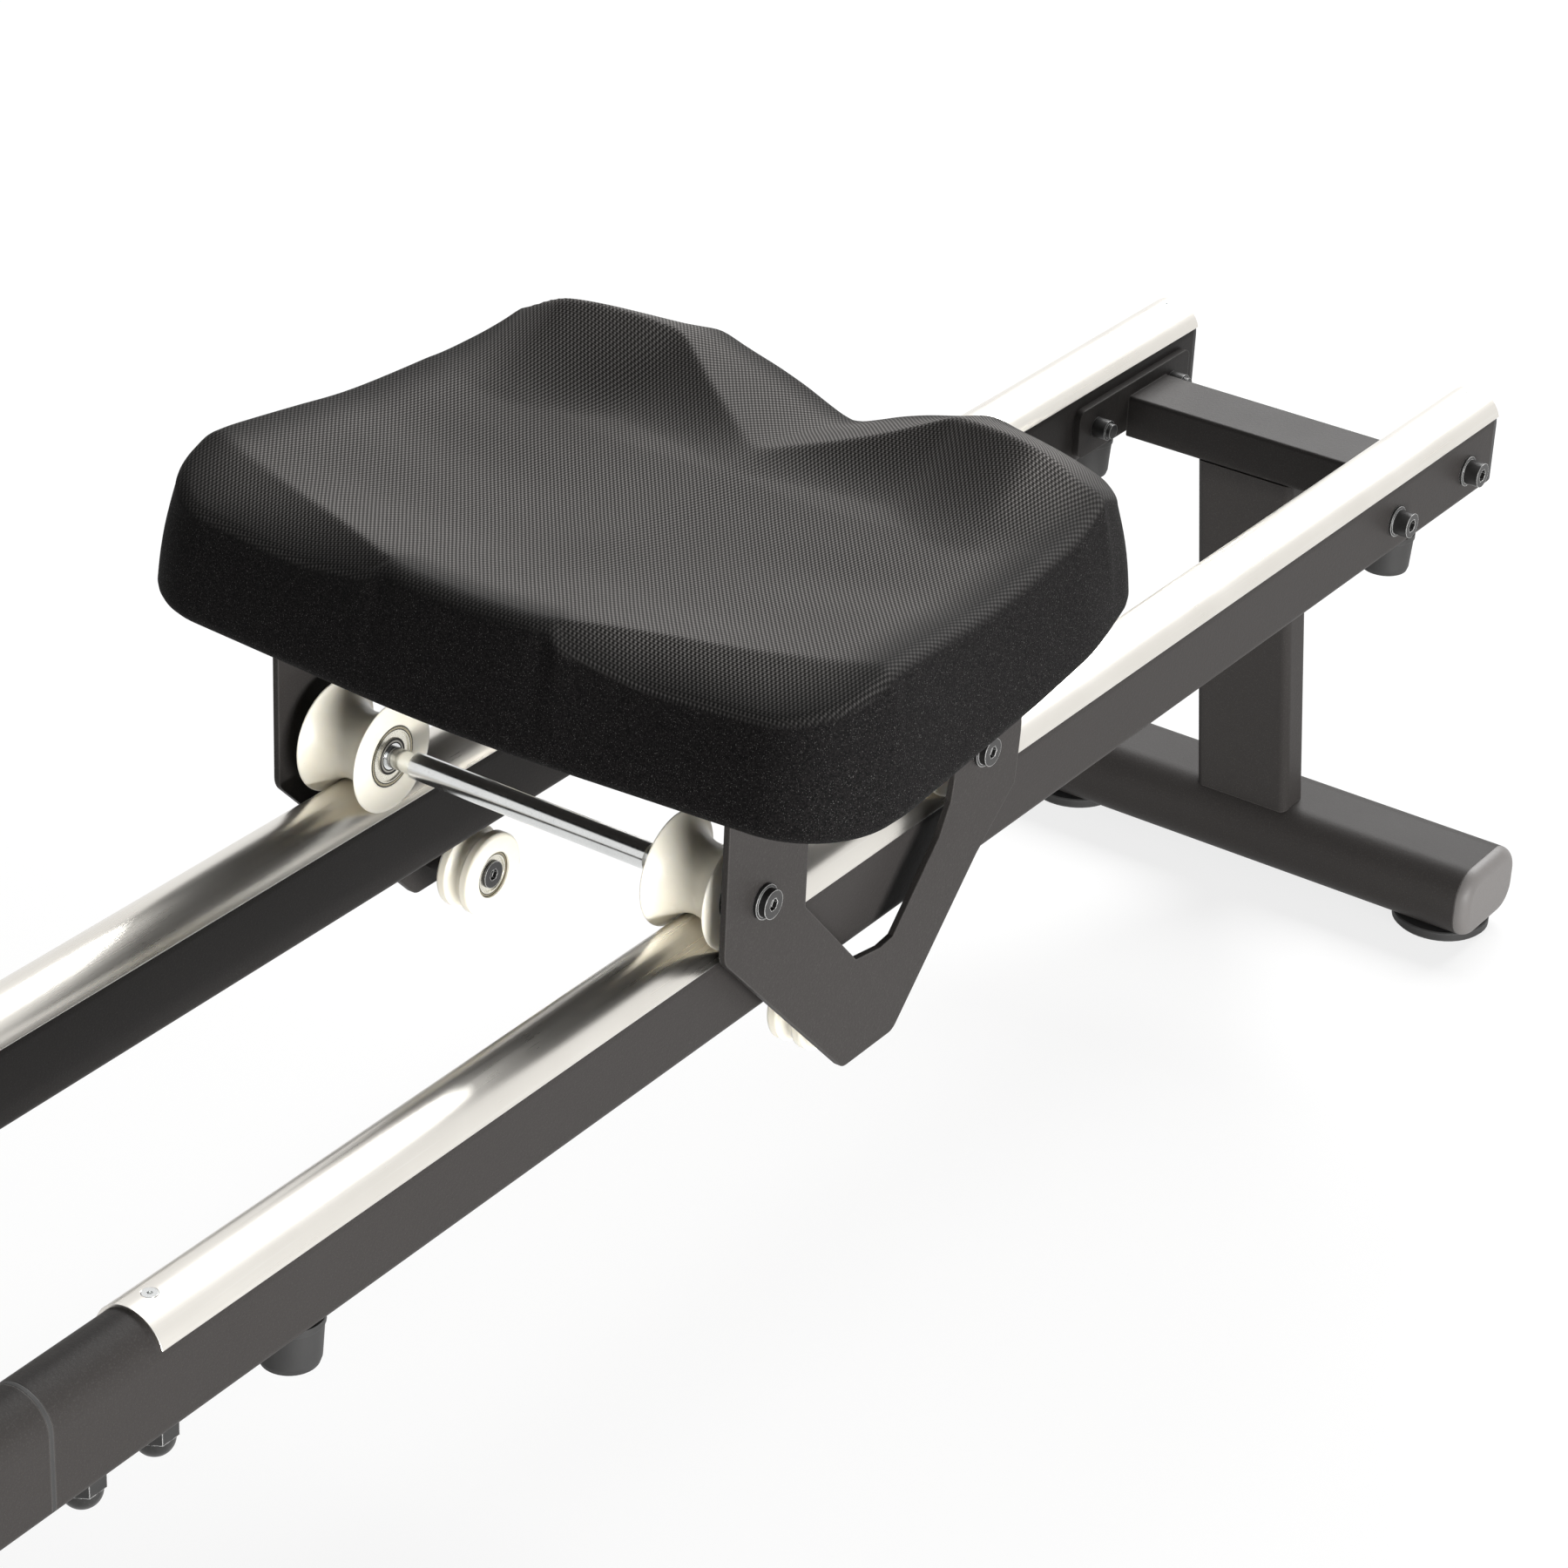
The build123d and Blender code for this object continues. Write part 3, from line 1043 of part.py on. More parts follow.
with BuildPart() as tank_bolts:
    clamp = 2 * TANK_FLANGE + GAP
    with BuildSketch(level(upper_foot + TANK_FLANGE, TANK_AT)):
        with PolarLocations(TANK_BOLT_CIRCLE, TANK_BOLT_COUNT):
            Circle(TANK_BOLT_HEAD_RADIUS)
    extrude(amount=TANK_BOLT_HEAD)
    with BuildSketch(level(upper_foot + TANK_FLANGE, TANK_AT)):
        with PolarLocations(TANK_BOLT_CIRCLE, TANK_BOLT_COUNT):
            Circle(TANK_BOLT_RADIUS)
    extrude(amount=-clamp)
    with BuildSketch(level(seam - TANK_FLANGE, TANK_AT)):
        with PolarLocations(TANK_BOLT_CIRCLE, TANK_BOLT_COUNT):
            RegularPolygon(TANK_BOLT_HEAD_RADIUS, 6)
    extrude(amount=-TANK_BOLT_HEAD)
tank_bolts.part.label = "tank_bolts"
export_step(tank_bolts.part, "parts/tank_bolts.step")

# The water fills the bowl outside and under the space that the paddle sweeps
swept = PADDLE_RADIUS + PADDLE_CLEARANCE
with BuildPart() as tank_water:
    inner = TANK_RADIUS - TANK_WALL
    water_top = floor_in + WATER_HEIGHT
    outline = (
        (SHAFT_HOUSING_RADIUS, floor_in), (inner - TANK_ROUND + TANK_WALL / 2, floor_in),
        (inner, floor_in + TANK_ROUND - TANK_WALL / 2), (inner, water_top), (swept, water_top),
        (swept, floor_in + WATER_UNDER), (SHAFT_HOUSING_RADIUS, floor_in + WATER_UNDER),
    )
    add(turned(outline, side(0, TANK_AT), line_z(TANK_AT)))
tank_water.part.label = "tank_water"
export_step(tank_water.part, "parts/tank_water.step")

with BuildPart() as shaft_bearings:
    for low in (floor_in, tank_top):
        width = SHAFT_BEARING_WIDTH
        outline = (
            (SHAFT_RADIUS + RUNNING, low), (SHAFT_BEARING_RADIUS, low), (SHAFT_BEARING_RADIUS, low + width),
            (SHAFT_BEARING_RADIUS - BEARING_OUTER_RING, low + width),
            (SHAFT_BEARING_RADIUS - BEARING_OUTER_RING, low + width - SHIELD_INSET),
            (SHAFT_RADIUS + BEARING_INNER_RING, low + width - SHIELD_INSET),
            (SHAFT_RADIUS + BEARING_INNER_RING, low + width), (SHAFT_RADIUS + RUNNING, low + width),
        )
        add(turned(outline, side(0, TANK_AT), line_z(TANK_AT)))
shaft_bearings.part.label = "shaft_bearings"
export_step(shaft_bearings.part, "parts/shaft_bearings.step")

# Paddle with its upright shaft
paddle_foot = floor_in + WATER_UNDER + PADDLE_CLEARANCE
drum_foot = belt_height - DRUM_CHANNEL / 2 - DRUM_FLANGE
drum_head = belt_height + DRUM_CHANNEL / 2 + DRUM_FLANGE
shaft_foot = floor_in + GAP
shaft_head = drum_head + GAP + BRACKET
with BuildPart() as paddle:
    with BuildSketch(level(paddle_foot, TANK_AT)):
        Circle(PADDLE_HUB)
        with PolarLocations(PADDLE_RADIUS / 2, PADDLE_COUNT):
            Rectangle(PADDLE_RADIUS, PADDLE_THICKNESS)
    extrude(amount=PADDLE_HEIGHT)
    with BuildSketch(level(paddle_foot, TANK_AT)):
        Circle(PADDLE_HUB)
    extrude(amount=-PADDLE_CLEARANCE / 2)
    with BuildSketch(level(floor_in, TANK_AT)):
        Circle(SHAFT_RADIUS)
    extrude(amount=TANK_LOWER_HEIGHT + TANK_UPPER_HEIGHT, mode=Mode.SUBTRACT)
paddle.part.label = "paddle"
export_step(paddle.part, "parts/paddle.step")

with BuildPart() as paddle_shaft:
    with BuildSketch(level(shaft_foot, TANK_AT)):
        Circle(SHAFT_RADIUS)
    extrude(amount=shaft_head - shaft_foot)
paddle_shaft.part.label = "paddle_shaft"
export_step(paddle_shaft.part, "parts/paddle_shaft.step")

# Belt drum on its one-way hub, running on the shaft
belt_coil = DRUM_RADIUS + BELT_THICKNESS * BELT_TURNS
with BuildPart() as belt_drum:
    outline = (
        (SHAFT_RADIUS + RUNNING, drum_foot), (DRUM_FLANGE_RADIUS, drum_foot),
        (DRUM_FLANGE_RADIUS, drum_foot + DRUM_FLANGE),
        (DRUM_RADIUS, drum_foot + DRUM_FLANGE), (DRUM_RADIUS, drum_head - DRUM_FLANGE),
        (DRUM_FLANGE_RADIUS, drum_head - DRUM_FLANGE), (DRUM_FLANGE_RADIUS, drum_head),
        (SHAFT_RADIUS + RUNNING, drum_head),
    )
    add(turned(outline, side(0, TANK_AT), line_z(TANK_AT)))
belt_drum.part.label = "belt_drum"
export_step(belt_drum.part, "parts/belt_drum.step")

pulley_x = TANK_AT + PULLEY_AT
pulley_y = PULLEY_RADIUS + BELT_THICKNESS
plate_top = tank_top + DRIVE_PLATE
with BuildPart() as drive_plate:
    with BuildSketch(level(tank_top, TANK_AT + (DRIVE_PLATE_FRONT - DRIVE_PLATE_BACK) / 2)):
        RectangleRounded(DRIVE_PLATE_FRONT + DRIVE_PLATE_BACK, 2 * DRIVE_PLATE_HALF, END_PLATE_CORNER)
    extrude(amount=DRIVE_PLATE)
    with BuildSketch(level(tank_top, TANK_AT)):
        Circle(SHAFT_HOUSING_RADIUS + GAP)
    extrude(amount=DRIVE_PLATE, mode=Mode.SUBTRACT)
    with BuildSketch(level(plate_top, pulley_x, pulley_y)):
        Circle(PULLEY_RADIUS - BELT_THICKNESS)
    extrude(amount=drum_foot - GAP - plate_top)
    with BuildSketch(level(plate_top, pulley_x, pulley_y)):
        Circle(PULLEY_STUD)
    extrude(amount=drum_head + BOLT_TAIL - plate_top)
drive_plate.part.label = "drive_plate"
export_step(drive_plate.part, "parts/drive_plate.step")

with BuildPart() as guide_pulley:
    outline = (
        (PULLEY_STUD + RUNNING, drum_foot), (PULLEY_FLANGE_RADIUS, drum_foot),
        (PULLEY_FLANGE_RADIUS, drum_foot + DRUM_FLANGE),
        (PULLEY_RADIUS, drum_foot + DRUM_FLANGE), (PULLEY_RADIUS, drum_head - DRUM_FLANGE),
        (PULLEY_FLANGE_RADIUS, drum_head - DRUM_FLANGE), (PULLEY_FLANGE_RADIUS, drum_head),
        (PULLEY_STUD + RUNNING, drum_head),
    )
    add(turned(outline, side(pulley_y, pulley_x), line_z(pulley_x, pulley_y)))
guide_pulley.part.label = "guide_pulley"
export_step(guide_pulley.part, "parts/guide_pulley.step")

with BuildPart() as drive_cover:
    cover_x = TANK_AT + (COVER_FRONT + COVER_BACK) / 2
    cover_length = COVER_BACK - COVER_FRONT
    cover_height = shaft_head + COVER_HEADROOM + COVER_WALL - tank_top
    with BuildSketch(level(tank_top, cover_x)):
        RectangleRounded(cover_length, 2 * COVER_HALF, COVER_CORNER)
    extrude(amount=cover_height)
    fillet(drive_cover.edges().group_by(Axis.Z)[-1], 3 * COVER_WALL)
    with BuildSketch(level(tank_top, cover_x)):
        inner_half = COVER_HALF - COVER_WALL
        RectangleRounded(cover_length - 2 * COVER_WALL, 2 * inner_half, COVER_CORNER - COVER_WALL)
    extrude(amount=cover_height - COVER_WALL, mode=Mode.SUBTRACT)
    with BuildSketch(across(TANK_AT + COVER_BACK - 2 * COVER_WALL, 0, belt_height)):
        Rectangle(COVER_SLOT_WIDTH, COVER_SLOT_HEIGHT)
    extrude(amount=3 * COVER_WALL, mode=Mode.SUBTRACT)
drive_cover.part.label = "drive_cover"
export_step(drive_cover.part, "parts/drive_cover.step")

# Pull belt: wound on the drum, round the guide pulley and straight to the handle
drum_belt = DRUM_RADIUS + BELT_THICKNESS * (BELT_TURNS - 1 / 2)
pull_gap = PULLEY_RADIUS + BELT_THICKNESS / 2
span_x = PULLEY_AT
span_y = pulley_y
span = hypot(span_x, span_y)
swing = atan2(span_y, span_x)
reach = (drum_belt + pull_gap) / span
top_leave = swing + atan2(sqrt(1 - reach ** 2), reach)
with BuildPart() as pull_belt:
    with BuildSketch(level(belt_height - BELT_WIDTH / 2, TANK_AT)):
        Circle(belt_coil)
        Circle(DRUM_RADIUS + RUNNING, mode=Mode.SUBTRACT)
    extrude(amount=BELT_WIDTH)
    start = (drum_belt * cos(top_leave), drum_belt * sin(top_leave))
    end = (span_x - pull_gap * cos(top_leave), span_y - pull_gap * sin(top_leave))
    run = (end[0] - start[0], end[1] - start[1])
    along = degrees(atan2(run[1], run[0]))
    middle = ((start[0] + end[0]) / 2, (start[1] + end[1]) / 2)
    with BuildSketch(level(belt_height - BELT_WIDTH / 2, TANK_AT)):
        with Locations(Location((middle[0], middle[1], 0), (0, 0, along))):
            Rectangle(hypot(run[0], run[1]), BELT_THICKNESS)
        wrap_from = top_leave + radians(180)
        wrap_to = radians(270)
        inner_r = PULLEY_RADIUS + RUNNING
        outer_r = PULLEY_RADIUS + BELT_THICKNESS
        mid = (wrap_from + wrap_to) / 2
        with BuildLine():
            ThreePointArc(
                (span_x + inner_r * cos(wrap_from), span_y + inner_r * sin(wrap_from)),
                (span_x + inner_r * cos(mid), span_y + inner_r * sin(mid)),
                (span_x + inner_r * cos(wrap_to), span_y + inner_r * sin(wrap_to)),
            )
            Line(
                (span_x + inner_r * cos(wrap_to), span_y + inner_r * sin(wrap_to)),
                (span_x + outer_r * cos(wrap_to), span_y + outer_r * sin(wrap_to)),
            )
            ThreePointArc(
                (span_x + outer_r * cos(wrap_to), span_y + outer_r * sin(wrap_to)),
                (span_x + outer_r * cos(mid), span_y + outer_r * sin(mid)),
                (span_x + outer_r * cos(wrap_from), span_y + outer_r * sin(wrap_from)),
            )
            Line(
                (span_x + outer_r * cos(wrap_from), span_y + outer_r * sin(wrap_from)),
                (span_x + inner_r * cos(wrap_from), span_y + inner_r * sin(wrap_from)),
            )
        make_face()
    extrude(amount=BELT_WIDTH)
    belt_end = HANDLE_AT - HANDLE_RADIUS - GAP
    with BuildSketch(level(belt_height - BELT_WIDTH / 2, (pulley_x + belt_end) / 2, BELT_LINE)):
        Rectangle(belt_end - pulley_x, BELT_THICKNESS - RUNNING)
    extrude(amount=BELT_WIDTH)
pull_belt.part.label = "pull_belt"
export_step(pull_belt.part, "parts/pull_belt.step")

# Handle: bar with a hub, a slot for the belt end and two soft grips
with BuildPart() as handle_bar:
    with BuildSketch(side(HANDLE_HALF, HANDLE_AT, belt_height)):
        Circle(HANDLE_RADIUS)
    extrude(amount=2 * HANDLE_HALF)
    with BuildSketch(side(HANDLE_HUB_HALF, HANDLE_AT, belt_height)):
        Circle(HANDLE_HUB_RADIUS)
        with Locations((-HANDLE_HUB_RADIUS, 0)):
            Rectangle(2 * HANDLE_HUB_RADIUS, BELT_WIDTH + 2 * COVER_WALL)
    extrude(amount=2 * HANDLE_HUB_HALF)
    slot_length = 3 * HANDLE_HUB_RADIUS
    with BuildSketch(level(belt_height, belt_end - slot_length / 2, BELT_LINE)):
        Rectangle(slot_length, BELT_THICKNESS + 2 * GAP)
    extrude(amount=BELT_WIDTH / 2 + GAP, both=True, mode=Mode.SUBTRACT)
handle_bar.part.label = "handle_bar"
export_step(handle_bar.part, "parts/handle_bar.step")

with BuildPart() as handle_grips:
    for sign in (1, -1):
        with BuildSketch(side(sign * (HANDLE_HALF + COVER_WALL), HANDLE_AT, belt_height)):
            Circle(GRIP_RADIUS)
        extrude(amount=sign * GRIP_LENGTH)
        with BuildSketch(side(sign * HANDLE_HALF, HANDLE_AT, belt_height)):
            Circle(HANDLE_RADIUS)
        extrude(amount=sign * GRIP_LENGTH, mode=Mode.SUBTRACT)
handle_grips.part.label = "handle_grips"
export_step(handle_grips.part, "parts/handle_grips.step")

# Foot rest frame: base on the tubes, ribs under the boards and a ledge for the parked handle
slope = radians(BOARD_SLOPE)
board_dir = (-cos(slope), sin(slope))
board_out = (sin(slope), cos(slope))


def on_board(along, up):
    """Point at a distance along the board's face from its foot and up from that face."""
    return (
        BOARD_FOOT[0] + along * board_dir[0] + up * board_out[0],
        BOARD_FOOT[1] + along * board_dir[1] + up * board_out[1],
    )


def board_plane(up, y=0.0):
    """Plane lying on the board: local x is up the board, local y is -Y or +Y."""
    x, z = on_board(0, up)
    return Plane(
        origin=(REAR_X + x, y, RAIL_HEIGHT_ABOVE_FLOOR + z),
        x_dir=(board_dir[0], 0, board_dir[1]),
        z_dir=(board_out[0], 0, board_out[1]),
    )


base_top = RAIL_RADIUS + REST_BASE
ledge_top = belt_height - HANDLE_RADIUS - GAP
with BuildPart() as rest_frame:
    with BuildSketch(level(RAIL_RADIUS, (REST_BASE_FRONT + REST_BASE_REAR) / 2)):
        RectangleRounded(REST_BASE_REAR - REST_BASE_FRONT, 2 * TRAY_HALF, END_PLATE_CORNER)
    extrude(amount=REST_BASE)
    foot_under = on_board(BOARD_ROUND, -BOARD_THICKNESS)
    head_under = on_board(BOARD_LENGTH - BOARD_ROUND, -BOARD_THICKNESS)
    for sign in (1, -1):
        with BuildSketch(side(sign * RIB_AT + RIB / 2)):
            with BuildLine():
                Polyline(
                    foot_under, head_under, (head_under[0], head_under[1] - BOARD_THICKNESS),
                    (REST_BASE_FRONT + BOARD_THICKNESS, base_top), (foot_under[0], base_top), close=True,
                )
            make_face()
        extrude(amount=RIB)
        ledge_y = sign * CRADLE_OUT
        with BuildSketch(level(RAIL_RADIUS, HANDLE_AT, ledge_y)):
            Rectangle(CRADLE_WIDTH, RIB)
        extrude(amount=ledge_top - RAIL_RADIUS)
        with BuildSketch(level(ledge_top, HANDLE_AT - HANDLE_RADIUS - GAP - RIB / 2, ledge_y)):
            Rectangle(RIB, RIB)
        extrude(amount=HANDLE_RADIUS)
rest_frame.part.label = "foot_rest_frame"
export_step(rest_frame.part, "parts/foot_rest_frame.step")

board_mid = (BOARD_INNER + BOARD_OUTER) / 2
with BuildPart() as foot_boards:
    for name, sign in SIDES:
        with BuildSketch(board_plane(-BOARD_THICKNESS, sign * board_mid)):
            with Locations((BOARD_LENGTH / 2, 0)):
                RectangleRounded(BOARD_LENGTH, BOARD_OUTER - BOARD_INNER, BOARD_ROUND)
            with Locations((BOARD_SLOT_AT, 0)):
                Rectangle(BOARD_SLOT_LENGTH, BOARD_SLOT_WIDTH, mode=Mode.SUBTRACT)
            for edge in (STRAP_HALF, -STRAP_HALF):
                with Locations((STRAP_AT, edge)):
                    Rectangle(STRAP_WIDTH + 2 * GAP, STRAP_THICKNESS + 2 * GAP, mode=Mode.SUBTRACT)
        extrude(amount=BOARD_THICKNESS)
foot_boards.part.label = "foot_boards"
export_step(foot_boards.part, "parts/foot_boards.step")

# Heel cups slide in the slots of the boards
for name, sign in SIDES:
    with BuildPart() as cup:
        with BuildSketch(board_plane(GAP, sign * board_mid)):
            with Locations((CUP_AT, 0)):
                Rectangle(CUP_DEPTH, CUP_WIDTH)
        extrude(amount=CUP_WALL)
        with BuildSketch(board_plane(GAP, sign * board_mid)):
            with Locations((CUP_AT - CUP_DEPTH / 2 + CUP_WALL / 2, 0)):
                Rectangle(CUP_WALL, CUP_WIDTH)
            for edge in (1, -1):
                with Locations((CUP_AT, edge * (CUP_WIDTH - CUP_WALL) / 2)):
                    Rectangle(CUP_DEPTH, CUP_WALL)
        extrude(amount=CUP_HEIGHT)
        with BuildSketch(board_plane(GAP, sign * board_mid)):
            with Locations((CUP_AT + CUP_DEPTH / 4, 0)):
                Rectangle(CUP_TONGUE_LENGTH, CUP_TONGUE_WIDTH)
        extrude(amount=-BOARD_THICKNESS - 2 * GAP)
        with BuildSketch(board_plane(-BOARD_THICKNESS - GAP, sign * board_mid)):
            with Locations((CUP_AT + CUP_DEPTH / 4, 0)):
                Rectangle(CUP_TONGUE_LENGTH, CUP_NUT_WIDTH)
        extrude(amount=-CUP_NUT)
    cup.part.label = f"heel_cup_{name}"
    export_step(cup.part, f"parts/heel_cup_{name}.step")

with BuildPart() as foot_straps:
    for name, sign in SIDES:
        x, z = on_board(STRAP_AT, 0)
        strap_plane = Plane(
            origin=(REAR_X + x, sign * board_mid, RAIL_HEIGHT_ABOVE_FLOOR + z),
            x_dir=(0, 1, 0),
            z_dir=(board_dir[0], 0, board_dir[1]),
        )
        down = -BOARD_THICKNESS - STRAP_TAIL
        flip = 1 if strap_plane.y_dir.Z > 0 else -1
        outer = STRAP_HALF + STRAP_THICKNESS / 2
        inner = STRAP_HALF - STRAP_THICKNESS / 2
        with BuildSketch(strap_plane.offset(-STRAP_WIDTH / 2)):
            with BuildLine():
                Line((-outer, flip * down), (-outer, 0))
                ThreePointArc((-outer, 0), (0, flip * STRAP_RISE), (outer, 0))
                Line((outer, 0), (outer, flip * down))
                Line((outer, flip * down), (inner, flip * down))
                Line((inner, flip * down), (inner, 0))
                ThreePointArc((inner, 0), (0, flip * (STRAP_RISE - STRAP_THICKNESS)), (-inner, 0))
                Line((-inner, 0), (-inner, flip * down))
                Line((-inner, flip * down), (-outer, flip * down))
            make_face()
        extrude(amount=STRAP_WIDTH)
foot_straps.part.label = "foot_straps"
export_step(foot_straps.part, "parts/foot_straps.step")

# Console arm and tilting console
arm_top = RAIL_RADIUS + ARM_RISE
with BuildPart() as console_arm:
    with BuildSketch(level(RAIL_RADIUS, ARM_AT)):
        Rectangle(ARM_BASE_LENGTH, 2 * TRAY_HALF)
    extrude(amount=ARM_BASE)
    with BuildSketch(level(RAIL_RADIUS + ARM_BASE, ARM_AT)):
        Circle(ARM_RADIUS)
    extrude(amount=ARM_RISE - ARM_BASE - ARM_EYE_RADIUS / 2)
    with BuildSketch(side(ARM_EYE_HALF, ARM_AT, arm_top)):
        Circle(ARM_EYE_RADIUS)
    extrude(amount=2 * ARM_EYE_HALF)
    with BuildSketch(side(ARM_EYE_HALF + CONSOLE_LUG + 2 * GAP, ARM_AT, arm_top)):
        Circle(PIN_RADIUS)
    extrude(amount=2 * (ARM_EYE_HALF + CONSOLE_LUG + 2 * GAP))
console_arm.part.label = "console_arm"
export_step(console_arm.part, "parts/console_arm.step")

# The console leans back on its pin; its screen faces the seat
turn = radians(CONSOLE_TILT)
face_out = (cos(turn), sin(turn))
face_up = (-sin(turn), cos(turn))


def on_console(out, up):
    """Point in front of and above the tilt pin, in the console's own lean."""
    return (ARM_AT + out * face_out[0] + up * face_up[0], arm_top + out * face_out[1] + up * face_up[1])


def console_plane(out, up, y=0.0):
    """Plane of the screen: local x is +Y, local y is up the console."""
    x, z = on_console(out, up)
    return Plane(
        origin=(REAR_X + x, y, RAIL_HEIGHT_ABOVE_FLOOR + z),
        x_dir=(0, 1, 0),
        z_dir=(face_out[0], 0, face_out[1]),
    )


console_up = ARM_EYE_RADIUS + GAP * CONSOLE_ROUND + CONSOLE_HEIGHT / 2
with BuildPart() as console:
    with BuildSketch(console_plane(-CONSOLE_DEPTH / 2, console_up)):
        RectangleRounded(CONSOLE_WIDTH, CONSOLE_HEIGHT, CONSOLE_ROUND)
    extrude(amount=CONSOLE_DEPTH)
    with BuildSketch(console_plane(CONSOLE_DEPTH / 2 - SCREEN_DEPTH, console_up + CONSOLE_ROUND)):
        Rectangle(SCREEN_WIDTH, SCREEN_HEIGHT)
    extrude(amount=SCREEN_DEPTH, mode=Mode.SUBTRACT)
    with BuildSketch(console_plane(CONSOLE_DEPTH / 2 - BUTTON_DEPTH, console_up - BUTTON_DROP)):
        Circle(BUTTON_RADIUS + GAP)
    extrude(amount=BUTTON_DEPTH, mode=Mode.SUBTRACT)
    for sign in (1, -1):
        lug_y = sign * (ARM_EYE_HALF + GAP + CONSOLE_LUG / 2)
        with BuildSketch(console_plane(0, CONSOLE_LUG_DROP / 2, lug_y)):
            Rectangle(CONSOLE_LUG, CONSOLE_LUG_DROP)
        extrude(amount=ARM_EYE_RADIUS, both=True)
        x, z = on_console(0, 0)
        with BuildSketch(side(sign * (ARM_EYE_HALF + GAP), x, z)):
            Circle(ARM_EYE_RADIUS)
        extrude(amount=-sign * CONSOLE_LUG)
    with BuildSketch(side(CONSOLE_WIDTH / 2, ARM_AT, arm_top)):
        Circle(PIN_RADIUS + RUNNING)
    extrude(amount=CONSOLE_WIDTH, mode=Mode.SUBTRACT)
console.part.label = "console"
export_step(console.part, "parts/console.step")

button_travel = BUTTON_DEPTH - BUTTON_HEIGHT
with BuildPart() as console_button:
    with BuildSketch(console_plane(CONSOLE_DEPTH / 2 - BUTTON_HEIGHT + GAP, console_up - BUTTON_DROP)):
        Circle(BUTTON_RADIUS)
    extrude(amount=BUTTON_HEIGHT + GAP)
console_button.part.label = "console_button"
export_step(console_button.part, "parts/console_button.step")

# Transport wheels between the brackets of the front foot tube, each on its own pin
for name, sign in SIDES:
    start = WHEEL_STATION + GAP
    inner_y, outer_y = sign * start, sign * (start + WHEEL_WIDTH)
    half = WHEEL_WIDTH / 2
    centre = (inner_y + outer_y) / 2
    outline = (
        (-half, WHEEL_BORE + RUNNING), (-half, WHEEL_RADIUS - WHEEL_ROUND),
        (-half + WHEEL_ROUND, WHEEL_RADIUS),
        (half - WHEEL_ROUND, WHEEL_RADIUS), (half, WHEEL_RADIUS - WHEEL_ROUND), (half, WHEEL_BORE + RUNNING),
    )
    with BuildPart() as wheel:
        add(turned(outline, across(WHEEL_X, centre, wheel_z), line_y(WHEEL_X, wheel_z)))
    wheel.part.label = f"wheel_{name}"
    export_step(wheel.part, f"parts/wheel_{name}.step")

with BuildPart() as wheel_pins:
    for sign in (1, -1):
        outer = sign * (WHEEL_STATION + WHEEL_WIDTH + 2 * GAP + BRACKET)
        with BuildSketch(side(outer, WHEEL_X, wheel_z)):
            Circle(WHEEL_HEAD_RADIUS)
        extrude(amount=-sign * WHEEL_HEAD)
        with BuildSketch(side(outer, WHEEL_X, wheel_z)):
            Circle(WHEEL_BORE)
        extrude(amount=sign * (WHEEL_WIDTH + 2 * GAP + 2 * BRACKET + WHEEL_HEAD))
wheel_pins.part.label = "wheel_pins"
export_step(wheel_pins.part, "parts/wheel_pins.step")
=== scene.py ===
import json
import math

import bmesh
import bpy
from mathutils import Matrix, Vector


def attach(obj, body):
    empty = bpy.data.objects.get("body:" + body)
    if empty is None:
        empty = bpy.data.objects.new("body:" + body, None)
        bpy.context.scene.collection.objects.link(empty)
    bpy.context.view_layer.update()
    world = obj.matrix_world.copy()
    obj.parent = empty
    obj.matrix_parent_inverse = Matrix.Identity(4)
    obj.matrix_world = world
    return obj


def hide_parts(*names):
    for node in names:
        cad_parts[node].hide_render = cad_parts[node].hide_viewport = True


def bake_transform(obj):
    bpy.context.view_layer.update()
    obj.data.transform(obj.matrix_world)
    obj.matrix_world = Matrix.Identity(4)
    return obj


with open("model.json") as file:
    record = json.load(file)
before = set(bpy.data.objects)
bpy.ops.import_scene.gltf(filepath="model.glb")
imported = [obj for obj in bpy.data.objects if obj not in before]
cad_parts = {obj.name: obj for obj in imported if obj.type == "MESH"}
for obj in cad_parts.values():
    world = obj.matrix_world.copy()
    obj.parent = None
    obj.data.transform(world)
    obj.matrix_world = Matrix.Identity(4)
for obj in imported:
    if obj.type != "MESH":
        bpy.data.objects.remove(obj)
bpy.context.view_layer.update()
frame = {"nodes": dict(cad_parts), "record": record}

# A millimetre, the place of the rear rail end and the height of the centre of the rail top's round,
# in metres
MM = 0.001
REAR_RAIL_END = 1.034
RAIL_ARC_HEIGHT = 0.289


def at(x, y, z):
    """Point in metres from rail coordinates in millimetres.

    x counts from the rear rail end, y from the centre plane and z from the centre of the rail top's round.
    """
    return Vector((REAR_RAIL_END + x * MM, y * MM, RAIL_ARC_HEIGHT + z * MM))


# Camera, as the photograph was taken
camera_data = bpy.data.cameras.new("camera")
camera_data.lens = 104.77
camera_data.sensor_width = 36.0
camera_data.clip_start = 0.05
camera_data.clip_end = 60.0
camera = bpy.data.objects.new("camera", camera_data)
camera.location = (-0.9982, -1.0070, 1.2641)
camera.rotation_euler = [math.radians(a) for a in (61.047, -2.4688, -55.3093)]
bpy.context.scene.collection.objects.link(camera)
bpy.context.scene.camera = camera
bpy.context.scene.view_settings.view_transform = "Standard"


